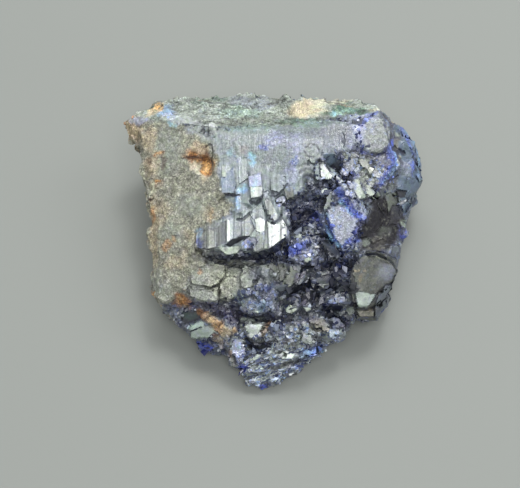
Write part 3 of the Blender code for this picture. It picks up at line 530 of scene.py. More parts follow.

# Faces that the specimen is known by: finish, lean to the right and to the front, lift in mm, and outline.
# A lean of 0, 0 lies level and mirrors the window; None leaves the face as it lies and only makes it flat.
# near-white faces lean to mirror the lamp and are painted near-white too: a painted highlight
ROW_FACES = [
    ("blue_grey", -0.20, 0.10, 0.0, [(196, 234), (202, 226), (207, 223), (207, 248), (202, 250), (196, 244)]),
    ("pale", 0.06, 0.04, 0.1, [(208, 229), (214, 231), (215, 248), (209, 249)]),
    ("slate", -0.16, 0.14, 0.0, [(216, 229), (221, 224), (227, 220), (227, 243), (216, 247)]),
    ("white_glint", 0.09, 0.05, 0.1, [(227, 219), (230, 221), (230, 240), (227, 242)]),
    ("steel", 0.05, 0.08, 0.0, [(230, 218), (242, 220), (242, 235), (230, 241)]),
    ("grey", 0.06, 0.12, 0.0, [(242, 220), (249, 214), (255, 229), (251, 235), (243, 237)]),
    ("steel", 0.08, 0.08, 0.1, [(249, 213), (257, 206), (264, 210), (266, 222), (255, 222)]),
    ("white_glint", 0.08, 0.05, 0.25, [(255, 219), (260, 217), (265, 220), (266, 230), (261, 233), (256, 231)]),
    ("grey", 0.00, 0.14, 0.0, [(256, 234), (266, 231), (267, 248), (258, 253), (253, 250)]),
    ("pale", 0.07, 0.05, 0.1, [(265, 223), (268, 222), (269, 249), (264, 250)]),
    ("white_glint", 0.09, 0.05, 0.25, [(267, 221), (274, 225), (283, 219), (287, 227), (287, 236), (269, 249)]),
    ("grey", 0.02, 0.14, 0.4, [(264, 201), (267, 198), (271, 201), (278, 215), (277, 219), (273, 222),
                               (268, 216)]),
    ("lilac", 0.04, 0.16, 0.25, [(275, 200), (283, 194), (286, 199), (285, 202), (280, 207), (276, 206)]),
    ("pale_green", 0.05, 0.06, 0.2, [(218, 247), (228, 247), (239, 246), (240, 250), (235, 256), (226, 255)]),
    ("lilac", -0.03, 0.16, 0.0, [(241, 243), (249, 237), (255, 237), (258, 242), (254, 248), (242, 249)]),
    # the gaps under the row's crystals, sunk and painted near-black and navy: painted shadow
    ("black", None, None, -0.2, [(226, 245), (232, 239), (242, 236), (250, 236), (242, 240), (230, 247)]),
    ("navy", None, None, -0.1, [(270, 249), (287, 236), (288, 247), (270, 258)]),
]
SHEET_FACES = [
    ("blue_grey", -0.12, 0.12, 0.05, [(221, 178), (234, 167), (236, 185), (234, 193), (222, 193)]),
    ("pale_green", 0.09, 0.05, 0.1, [(222, 165), (225, 166), (226, 177), (222, 177)]),
    ("lavender", 0.07, 0.03, 0.2, [(248, 176), (261, 173), (262, 186), (249, 187)]),
    ("pale", 0.09, 0.06, 0.2, [(250, 187), (262, 186), (263, 194), (258, 197), (251, 198)]),
    ("steel", 0.00, 0.06, 0.0, [(238, 160), (247, 157), (248, 178), (239, 184)]),
    ("steel", 0.08, 0.10, 0.05, [(270, 172), (286, 177), (285, 187), (279, 192), (271, 190)]),
    ("olive", 0.00, 0.18, 0.0, [(283, 185), (293, 187), (294, 199), (287, 200), (285, 194)]),
    ("white_glint", 0.09, 0.05, 0.3, [(319, 160), (323, 162), (326, 167), (331, 174), (336, 175), (328, 180),
                                (321, 179), (320, 169)]),
    ("steel", 0.05, 0.12, 0.1, [(315, 164), (319, 164), (320, 180), (315, 180)]),
    ("steel", 0.02, 0.14, 0.1, [(326, 163), (334, 168), (339, 175), (333, 177), (331, 171)]),
]
BANK_FACES = [
    ("grey", 0.05, 0.10, 0.1, [(358, 160), (364, 157), (370, 165), (368, 170), (361, 166)]),
    ("lilac", 0.00, 0.05, 0.1, [(373, 171), (384, 173), (380, 179), (372, 176)]),
    ("pale_green", 0.04, 0.06, 0.1, [(366, 183), (376, 189), (381, 196), (374, 199), (365, 193)]),
    ("lilac", 0.05, 0.00, 0.1, [(344, 188), (352, 189), (357, 197), (352, 199), (347, 195)]),
    ("wedge", None, None, 0.0, WEDGE),
    ("vivid", None, None, 0.0, [(314, 212), (321, 214), (328, 218), (334, 228), (328, 234), (318, 223)]),
    ("sky", -0.10, 0.20, 0.1, [(327, 227), (333, 236), (340, 244), (338, 249), (331, 240), (326, 232)]),
    ("slope", None, None, 0.0, [(373, 199), (384, 200), (386, 213), (381, 227), (369, 236), (360, 238),
                                (362, 225),
                                (369, 215)]),
    ("olive", None, None, 0.0, [(386, 194), (397, 191), (399, 202), (388, 213)]),
    ("black", None, None, -0.4, [(392, 206), (399, 205), (400, 218), (388, 225)]),
    ("white_glint", 0.09, 0.05, 0.3, [(399, 202), (406, 199), (408, 201), (401, 205)]),
    ("blue_grey", None, None, 0.2, [(401, 206), (413, 196), (415, 199), (405, 214)]),
    ("olive", None, None, 0.0, [(400, 219), (406, 220), (407, 227), (401, 228)]),
    ("blue_grey", 0.30, 0.05, 0.1, [(399, 124), (407, 130), (416, 142), (412, 150), (404, 139)]),
    ("slate", 0.40, 0.10, 0.0, [(417, 143), (422, 154), (424, 172), (418, 168), (415, 152)]),
    ("blue_grey", 0.15, 0.10, 0.1, [(416, 173), (422, 172), (424, 179), (419, 182)]),
    ("black", None, None, -0.4, [(396, 189), (407, 191), (405, 198), (398, 197)]),
    ("pale", 0.08, 0.04, 0.3, [(321, 190), (327, 187), (328, 192), (322, 197)]),
    ("grey", 0.00, 0.15, 0.1, [(323, 198), (332, 192), (330, 205), (324, 212)]),
    ("grey", 0.05, 0.05, 0.4, [(293, 208), (300, 205), (301, 207), (294, 210)]),
    ("grey", 0.05, 0.05, 0.4, [(297, 221), (304, 215), (305, 218), (298, 224)]),
    ("blue_grey", None, None, -0.1, [(322, 154), (333, 153), (337, 160), (330, 167), (326, 162)]),
    ("slate", None, None, -0.3, [(337, 160), (340, 159), (344, 167), (338, 171), (330, 167)]),
    ("pale", 0.06, 0.08, 0.3, [(330, 173), (335, 173), (343, 180), (352, 189), (348, 192), (337, 182)]),
    ("lilac", 0.02, 0.10, 0.1, [(343, 163), (352, 160), (355, 170), (346, 178), (341, 172)]),
    ("pale_green", 0.04, 0.10, 0.2, [(352, 180), (359, 178), (362, 190), (368, 198), (360, 200), (354, 192)]),
]
JUMBLE_FACES = [
    ("grey", 0.04, 0.08, 0.2, [(292, 233), (310, 231), (304, 238), (293, 240)]),
    ("white_glint", 0.09, 0.05, 0.3, [(314, 244), (319, 245), (320, 248), (315, 248)]),
    ("pale_green", 0.02, 0.10, 0.2, [(304, 259), (309, 257), (312, 260), (308, 264), (304, 262)]),
    ("black", None, None, 0.5, [(320, 240), (325, 235), (335, 245), (342, 257), (337, 258), (330, 257),
                                (324, 250)]),
    ("grey", 0.05, 0.10, 0.5, [(328, 257), (336, 258), (344, 257), (340, 261), (331, 260)]),
    ("olive", 0.00, 0.20, 0.1, [(280, 268), (290, 266), (288, 277), (280, 282)]),
    ("olive", 0.05, 0.16, 0.3, [(291, 267), (301, 267), (302, 273), (291, 287), (281, 290), (283, 281)]),
    ("plum", -0.25, 0.20, 0.4, [(296, 273), (306, 270), (307, 274), (297, 285), (293, 283)]),
    ("pale", 0.10, 0.05, 0.5, [(297, 285), (306, 275), (307, 276), (298, 286)]),
    ("white_glint", 0.09, 0.05, 0.5, [(310, 281), (313, 281), (313, 286), (310, 285)]),
    ("pale", 0.04, 0.12, 0.3, [(315, 273), (327, 273), (326, 275), (316, 275)]),
    ("slate", 0.02, 0.20, 0.2, [(316, 277), (330, 276), (334, 280), (327, 285), (317, 286)]),
    ("grey", 0.02, 0.10, 0.3, [(318, 285), (327, 283), (333, 281), (331, 285), (324, 289)]),
    ("slate", 0.00, 0.20, 0.2, [(319, 293), (330, 289), (343, 287), (345, 292), (330, 298), (321, 298)]),
    ("lilac", 0.00, 0.18, 0.3, [(328, 300), (337, 296), (346, 297), (345, 302), (335, 304), (328, 304)]),
    ("pale_green", 0.00, 0.18, 0.2, [(285, 309), (288, 306), (296, 306), (297, 310), (292, 314), (286, 313)]),
    ("pale", 0.06, 0.10, 0.3, [(304, 308), (311, 306), (311, 310), (306, 312)]),
    ("plum", -0.25, 0.22, 0.3, [(299, 304), (307, 290), (312, 292), (309, 300), (303, 306)]),
    ("pale", 0.08, 0.06, 0.5, [(298, 303), (306, 289), (308, 290), (300, 304)]),
    ("pale", 0.06, 0.08, 0.3, [(278, 297), (285, 297), (281, 302)]),
    # sunk clefts of the broken ground, painted black and navy: painted shade
    ("navy", None, None, -0.3, [(324, 287), (334, 284), (342, 285), (334, 290), (326, 291)]),
    ("black", None, None, -0.4, [(310, 288), (318, 287), (320, 297), (312, 304), (308, 300)]),
    ("black", None, None, -0.4, [(290, 290), (301, 282), (306, 284), (298, 293), (290, 297)]),
    ("navy", None, None, -0.4, [(323, 306), (343, 306), (342, 311), (324, 310)]),
    ("black", None, None, -0.4, [(300, 266), (315, 266), (314, 272), (306, 270)]),
    ("navy", None, None, -0.4, [(335, 264), (348, 262), (350, 275), (342, 278), (337, 272)]),
    ("teal_grey", 0.02, 0.25, 0.1, [(344, 308), (355, 306), (356, 314), (348, 315)]),
]
CORNER_FACES = [
    ("corner", 0.10, 0.24, 0.0, CORNER_BLOCK),
    ("teal_grey", 0.02, 0.36, 0.08, [(353, 293), (360, 291), (370, 294), (377, 294), (371, 303), (366, 309),
                                     (358, 307)]),
    ("tan_grey", 0.02, 0.35, 0.1, [(357, 311), (374, 310), (374, 316), (360, 317)]),
    ("slate", 0.60, 0.30, 0.0, [(378, 297), (386, 285), (397, 279), (396, 291), (389, 304), (381, 319),
                                (375, 318), (375, 306)]),
    ("slate", 0.35, 0.20, 0.3, [(391, 254), (393, 246), (400, 244), (399, 252), (393, 257)]),
]
STEP_FACES = [
    ("grey", 0.08, 0.16, 0.03, [(262, 266), (270, 268), (266, 278), (261, 273)]),
    ("pale", 0.06, 0.10, 0.2, [(272, 273), (278, 272), (276, 278)]),
    ("white_glint", 0.08, 0.06, 0.3, [(254, 311), (260, 311), (258, 314)]),
    ("teal_pale", 0.04, 0.10, 0.2, [(187, 327), (200, 321), (206, 322), (204, 326), (190, 331)]),
    ("teal_grey", -0.04, 0.24, 0.1, [(190, 332), (204, 326), (210, 323), (216, 331), (209, 338), (191, 340)]),
    ("black", None, None, -0.1, [(182, 311), (199, 311), (201, 319), (186, 324), (181, 321)]),
    ("vivid_deep", -0.1, 0.35, 0.1, [(193, 341), (204, 342), (214, 346), (212, 351), (202, 352), (197, 346)]),
    ("pale", 0.03, 0.10, 0.2, [(238, 320), (243, 316), (264, 317), (268, 323), (263, 331), (257, 339),
                                     (247, 336), (241, 329)]),
    ("tan_pale", 0.06, 0.12, 0.18, [(266, 322), (272, 320), (271, 327), (262, 338), (260, 332)]),
    # a hole, sunk and painted black: painted shade
    ("black", None, None, -0.7, [(245, 338), (251, 339), (257, 342), (264, 341), (269, 343), (266, 350),
                                 (254, 350),
                                 (249, 346)]),
    ("lilac", -0.06, 0.12, 0.15, [(231, 341), (240, 338), (245, 348), (243, 362), (238, 364), (232, 353)]),
]
LOBE_FACES = [
    ("tan_grey", 0.05, 0.14, 0.15, [(309, 320), (322, 319), (330, 324), (328, 331), (316, 332), (309, 328)]),
    ("plum", 0.10, 0.30, 0.1, [(330, 315), (350, 322), (346, 329), (335, 328)]),
    ("grey", 0.08, 0.10, 0.2, [(304, 333), (315, 336), (318, 342), (308, 345), (300, 340)]),
    ("lilac_pale", 0.08, 0.10, 0.2, [(329, 329), (336, 328), (341, 333), (335, 340), (329, 337)]),
    ("blue_grey", 0.10, 0.16, 0.1, [(297, 352), (310, 348), (323, 347), (311, 357), (302, 361)]),
    ("pale", 0.04, 0.14, 0.1, [(276, 353), (286, 350), (296, 354), (292, 359), (282, 359)]),
    ("pale", 0.05, 0.10, 0.2, [(247, 360), (258, 354), (264, 354), (258, 359), (250, 362)]),
    ("vivid_deep", -0.1, 0.3, 0.0, [(238, 366), (244, 364), (245, 370), (239, 372)]),
    ("vivid_deep", 0.0, 0.3, 0.0, [(260, 384), (267, 383), (267, 388), (262, 390)]),
]
BLOCK_FACES = [
    ("rock", 0.02, 0.16, 0.0, [(190, 271), (200, 267), (213, 264), (225, 264), (225, 275), (218, 284),
                               (211, 287),
                               (203, 286), (192, 284)]),
    ("rock", -0.04, 0.20, 0.02, [(220, 284), (226, 276), (232, 276), (240, 281), (241, 289), (237, 295),
                                 (229, 302),
                                 (220, 300)]),
    ("rock", 0.06, 0.16, 0.02, [(240, 277), (248, 272), (253, 277), (253, 286), (245, 289), (241, 286)]),
    ("rock", 0.02, 0.24, 0.0, [(227, 265), (241, 265), (243, 271), (238, 279), (233, 275), (227, 274)]),
    ("rock", 0.02, 0.26, 0.02, [(190, 289), (209, 289), (218, 286), (218, 300), (212, 302), (202, 301),
                                (190, 296)]),
]
HAND_FACES = (ROW_FACES + SHEET_FACES + BANK_FACES + JUMBLE_FACES + CORNER_FACES + STEP_FACES + LOBE_FACES
              + BLOCK_FACES)

# Cracks and dark seams: width in squares, depth in mm, and run on the sheet. Those along the foot of a step,
# under the crystal row, below the sheet's lower edge and below the front druse also stand for the shadow
# there:
# painted shadow on a sunk groove.
CRACKS = [
    (1.4, 0.25, [(224, 194), (230, 195), (239, 195)]),
    (2.2, 0.5, [(238, 219), (242, 220), (246, 217), (250, 213)]),
    (2.0, 0.5, [(264, 206), (268, 216), (273, 223), (279, 220), (280, 216)]),
    (3.0, 0.6, [(251, 201), (256, 204), (261, 199)]),
    (1.4, 0.3, [(261, 199), (264, 190), (269, 193), (274, 197), (279, 194), (283, 190), (287, 184)]),
    (1.0, 0.2, [(344, 131), (344, 148)]), (2.2, 0.6, [(308, 162), (314, 165), (320, 160)]),
    (2.2, 0.6, [(371, 154), (378, 155), (385, 154)]), (3.0, 0.7, [(394, 148), (399, 151), (404, 154)]),
    (2.0, 0.5, [(383, 184), (390, 180), (397, 176)]),
    (1.2, 0.3, [(226, 263), (225, 275), (219, 284), (210, 288), (204, 286)]),
    (1.0, 0.2, [(219, 284), (219, 297), (218, 302)]),
    (0.8, 0.15, [(225, 275), (232, 275), (240, 280), (241, 287)]),
    (0.8, 0.15, [(240, 276), (248, 271), (257, 268)]),
    (1.0, 0.2, [(243, 290), (253, 287), (254, 278), (258, 268)]),
    (1.8, 0.7, [(196, 250), (206, 257), (222, 260), (240, 259), (258, 258), (272, 260), (286, 251)]),
    (1.6, 0.6, [(243, 316), (252, 314), (270, 315)]), (1.5, 0.4, [(258, 340), (259, 332), (265, 327)]),
    (2.0, 0.6, [(242, 328), (246, 337), (250, 346), (256, 352), (266, 352)]),
    (2.0, 0.5, [(286, 363), (297, 361), (309, 358)]), (2.0, 0.5, [(312, 336), (320, 342), (330, 345)]),
    (1.5, 0.3, [(196, 249), (207, 249), (217, 247)]), (2.0, 0.5, [(344, 258), (334, 262), (322, 268)]),
    (2.0, 0.5, [(353, 262), (352, 276), (354, 292), (357, 308)]),
    (1.8, 0.5, [(358, 309), (366, 309), (374, 309)]), (1.6, 0.3, [(375, 296), (386, 285), (393, 283)]),
    (1.2, 0.2, [(174, 176), (178, 181)]), (1.3, 0.4, [(150, 200), (153, 199)]),
    (1.5, 0.5, [(207, 146), (213, 144), (213, 152), (211, 162)]),
    (1.1, 0.3, [(184, 156), (196, 158), (202, 162)]), (1.0, 0.15, [(200, 122), (236, 125)]),
    (1.0, 0.15, [(200, 113), (236, 115)]), (1.0, 0.15, [(210, 107), (250, 108)]),
]


def lay_faces(points):
    """Flattens each outlined face to its own lean, sinks the cracks, and says where both are and where raised
    rims get painted shade.
    """
    across, down = on_sheet(points)
    sight = sight_to(points)
    moved = points.copy()
    painted_rim_shade = np.zeros(len(points))
    smooth = np.ones(len(points))
    whole = np.zeros(len(points))
    for finish, right, front, lift, outline in HAND_FACES:
        xs, ys = zip(*outline)
        near = np.flatnonzero((across > min(xs) - 2) & (across < max(xs) + 2) & (down > min(ys) - 2)
                              & (down < max(ys) + 2) & (seen > 0.3))
        distance, inside = from_edge(across[near], down[near], outline)
        held = near[inside]
        if len(held) < 6:
            continue
        middle = moved[held].mean(0)
        plane = np.linalg.svd(moved[held] - middle, full_matrices=False)[2][2]
        plane *= -np.sign(plane @ sight[held].mean(0))
        if right is not None:
            aim = np.array((right, -front, 1.0))
            aim /= np.linalg.norm(aim)
            pull = 0.85 if finish in ("white_glint", "pale_green", "teal_grey") else 0.6
            plane = plane * (1.0 - pull) + aim * pull
            plane /= np.linalg.norm(plane)
        slant = sight[held] @ plane
        fall = ((middle - moved[held]) @ plane) / np.where(np.abs(slant) < 0.25, -0.25, slant)
        far_edge = down[held] <= np.quantile(down[held], 0.2)
        fall -= fall[far_edge].mean()  # hinged at its far edge
        fall = np.tanh(fall / MOST_FACE_MOVE) * MOST_FACE_MOVE
        moved[held] += sight[held] * fall[:, None] - sight[held] * lift * MM
        stands_out = np.clip(abs(lift) / 0.3, 0.0, 1.0)
        edge = (1.0 - ease(distance[inside], 0.1, 1.2)) * stands_out
        moved[held] += sight[held] * (edge * FACE_RIM_DEPTH)[:, None]
        # the rim of a face that stands out is painted darker: the painted shadow of its step
        painted_rim_shade[held] = edge * FACE_RIM_PAINTED_SHADE
        whole[held] = ease(distance[inside], 0.0, 1.5) * (0.9 if MINERALS[finish][2] < 0.6 else 0.5)
        smooth[held] = 1.0 - 0.85 * (finish == "white_glint") - 0.5 * (finish in ("pale", "lavender", "pale_green"))
    crack = np.zeros(len(points))
    for wide, deep, run in CRACKS:
        xs, ys = zip(*run)
        near = np.flatnonzero((across > min(xs) - 4) & (across < max(xs) + 4) & (down > min(ys) - 4)
                              & (down < max(ys) + 4) & (seen > 0.02))
        astray = ragged[near] * 1.2
        distance, _ = from_edge(across[near] + astray, down[near] - astray, run, False)
        sunk = 1.0 - ease(distance, wide * 0.25, wide * 0.85)
        crack[near] = np.maximum(crack[near], sunk)
        moved[near] += sight[near] * (sunk * deep * 0.6 * MM)[:, None]
    return moved, painted_rim_shade, crack, smooth, whole


def steps_along(values, spacing, seed):
    """A flight of straight flutes: random height at each spacing, joined by straight runs."""
    draw = np.random.default_rng(seed)
    knots = np.arange(math.floor(values.min() / spacing) - 1, math.ceil(values.max() / spacing) + 2)
    places = knots * spacing + draw.uniform(-0.35, 0.35, len(knots)) * spacing
    return np.interp(values, places, draw.uniform(-1.0, 1.0, len(knots)))


MOST_FACE_MOVE = 1.1 * MM
FACE_RIM_DEPTH = 0.04 * MM
# how much darker the rims of raised faces are painted: painted shade
FACE_RIM_PAINTED_SHADE = 0.25
CRACK_DARKNESS = 0.75
BAND_DIP = (293, 103, 13, 10)  # the back band's crest runs on here without a dip
RIDGE = (340, 182, 14, 12)  # and this ridge stands up between the white crystal and the wedge

# the upper sheet and the wedge are worn level, and the row and the sheet get more points for fine flutes
points = points_of(lump.data)
across, down = on_sheet(points)
seen = in_view(points, normals_of(lump.data))
points[:, 2] += BAND_FILL * spot(across, down, *BAND_DIP)
points -= sight_to(points) * (RIDGE_FILL * spot(across, down, *RIDGE) * seen)[:, None]
for outline, times in ((SHEET_TOP, 70), (WEDGE, 30), (SMOOTH_DOME, 4), (PALE_FACE, 60), (TEAL_FACE, 60),
                       (CORNER_BLOCK, 8), (DOME_FOOT, 5), (CLAY, 6)):
    worn = shown(outline)
    ends = edge_ends(lump.data)
    ends = ends[(worn[ends] > 0.02).all(1)]
    points += (levelled(points, ends, times) - points) * worn[:, None]
facing = ease(-(sight_to(points) * normals_of(lump.data)).sum(1), -0.3, 0.0)
pit = np.flatnonzero(area(across, down, FILLED_PIT) * facing > 0.5)
ground = points[pit][seen[pit] > 0.5]
flat = np.linalg.svd(ground - ground.mean(0), full_matrices=False)[2][2]
fall = ((ground.mean(0) - points[pit]) @ flat) / (sight_to(points[pit]) @ flat)
points[pit] += sight_to(points[pit]) * np.minimum(fall, 0.0)[:, None]
lump.data.vertices.foreach_set("co", points.astype(np.float32).ravel())
finer = bmesh.new()
finer.from_mesh(lump.data)
finer.verts.ensure_lookup_table()
fluted = most_of(shown(SHEET), shown(CRYSTAL_ROW))
edges = [e for e in finer.edges if fluted[e.verts[0].index] > 0.5 and fluted[e.verts[1].index] > 0.5]
bmesh.ops.subdivide_edges(finer, edges=edges, cuts=1, use_grid_fill=True)
finer.to_mesh(lump.data)
finer.free()

# the fine relief, in mm: flutes and lines on crystals, crumbs on rock, and steps where layers end
FLUTE_DEPTH = 0.07
LINE_DEPTH = 0.022
CRUMB_DEPTH = 0.13
CLAY_SMOOTHING = 0.09
WORN_DEPTH = 0.05
LAYER_DEPTH = 0.22
STRATA_DEPTH = 0.14
points, normals = points_of(lump.data), normals_of(lump.data)
seen = in_view(points, normals)
across, down = on_sheet(points)
ragged = wobble(points, 0.7 * MM, 5.0) * 2.0
split_crack = kept(lump.data, "crack")
moved, painted_rim_shade, crack, fluted, whole = lay_faces(points)
row = shown(CRYSTAL_ROW, soft=2.0)
sheet = shown(SHEET, soft=2.0)
flutes = steps_along(across + down * 0.02, 2.3, 11) * 0.6 + steps_along(across, 5.5, 12)
lines = steps_along(across + down * 0.03 + ragged * 0.25, 2.1, 13)
fine_relief = (flutes * row * FLUTE_DEPTH * MM + lines * sheet * (1.0 - row) * LINE_DEPTH * MM) * fluted
earth = most_of(shown(WEATHERED_SLAB), shown(FRONT_BLOCKS, 0.8), shown(BACK_BAND))
crumbly = most_of(shown(SHEET_TOP), shown(WEDGE), shown(SMOOTH_DOME))
crumbs = wobble(points, 0.55 * MM, 17.0) + wobble(points, 0.28 * MM, 19.0) * 0.5
rough_ground = earth * (CRUMB_DEPTH - CLAY_SMOOTHING * area(across, down, CLAY))
fine_relief += (rough_ground + crumbly * WORN_DEPTH) * crumbs * MM
layers = steps_along(down + across * 0.30 + ragged * 1.5, 3.6, 14)
fine_relief += shown(LOBE_TIP, soft=6.0) * layers * LAYER_DEPTH * MM * (1.0 - whole)
strata = steps_along(down + across * 0.04 + wobble(points, 3.0 * MM, 23.0) * 9.0 + ragged, 2.6, 46)
layered = area(across, down, BACK_BAND, 4.0) * (1.0 - area(across, down, CLAY)) * seen
fine_relief += layered * strata * STRATA_DEPTH * MM
moved += -sight_to(points) * (fine_relief * (1.0 - crack))[:, None]
moved[:, 2] = np.maximum(moved[:, 2], 0.0)
lump.data.vertices.foreach_set("co", moved.astype(np.float32).ravel())
for name in ("split", "druse"):
    kept(lump.data, name)
keep(lump.data, "crack", np.maximum(crack * CRACK_DARKNESS, split_crack * (1.0 - whole)))
keep(lump.data, "painted_rim_shade", painted_rim_shade)
keep(lump.data, "whole", whole)
lump.data.update()
THINNED_IN_VIEW = 0.35  # how readily points in view are thinned out, next to 1 for those that are hidden
unseen = lump.vertex_groups.new(name="unseen")
hidden = 1.0 - ease(in_view(moved, normals), 0.0, 0.3)
unseen.add(np.flatnonzero(hidden <= 0.5).tolist(), THINNED_IN_VIEW, "REPLACE")
unseen.add(np.flatnonzero(hidden > 0.5).tolist(), 1.0, "REPLACE")
thinned = lump.modifiers.new("thinned", "DECIMATE")
thinned.ratio = min(1.0, LUMP_TRIANGLES / (2 * len(lump.data.polygons)))
thinned.vertex_group = "unseen"
thinned.vertex_group_factor = 1.5
plain_mesh(lump)
lump.vertex_groups.clear()
points = points_of(lump.data)
points[:, 2] = np.maximum(points[:, 2], 0.0)
lump.data.vertices.foreach_set("co", points.astype(np.float32).ravel())
resting = bmesh.new()  # the thinning leaves long slivers on the flat underside, so they are cut again
resting.from_mesh(lump.data)
for _ in range(4):
    edges = [e for e in resting.edges if max(e.verts[0].co.z, e.verts[1].co.z) < 0.1 * MM
             and e.calc_length() > RESTING_FACE]
    cut = bmesh.ops.subdivide_edges(resting, edges=edges, cuts=1)
    bmesh.ops.triangulate(resting, faces=[f for f in cut["geom"] if isinstance(f, bmesh.types.BMFace)])
resting.to_mesh(lump.data)
resting.free()
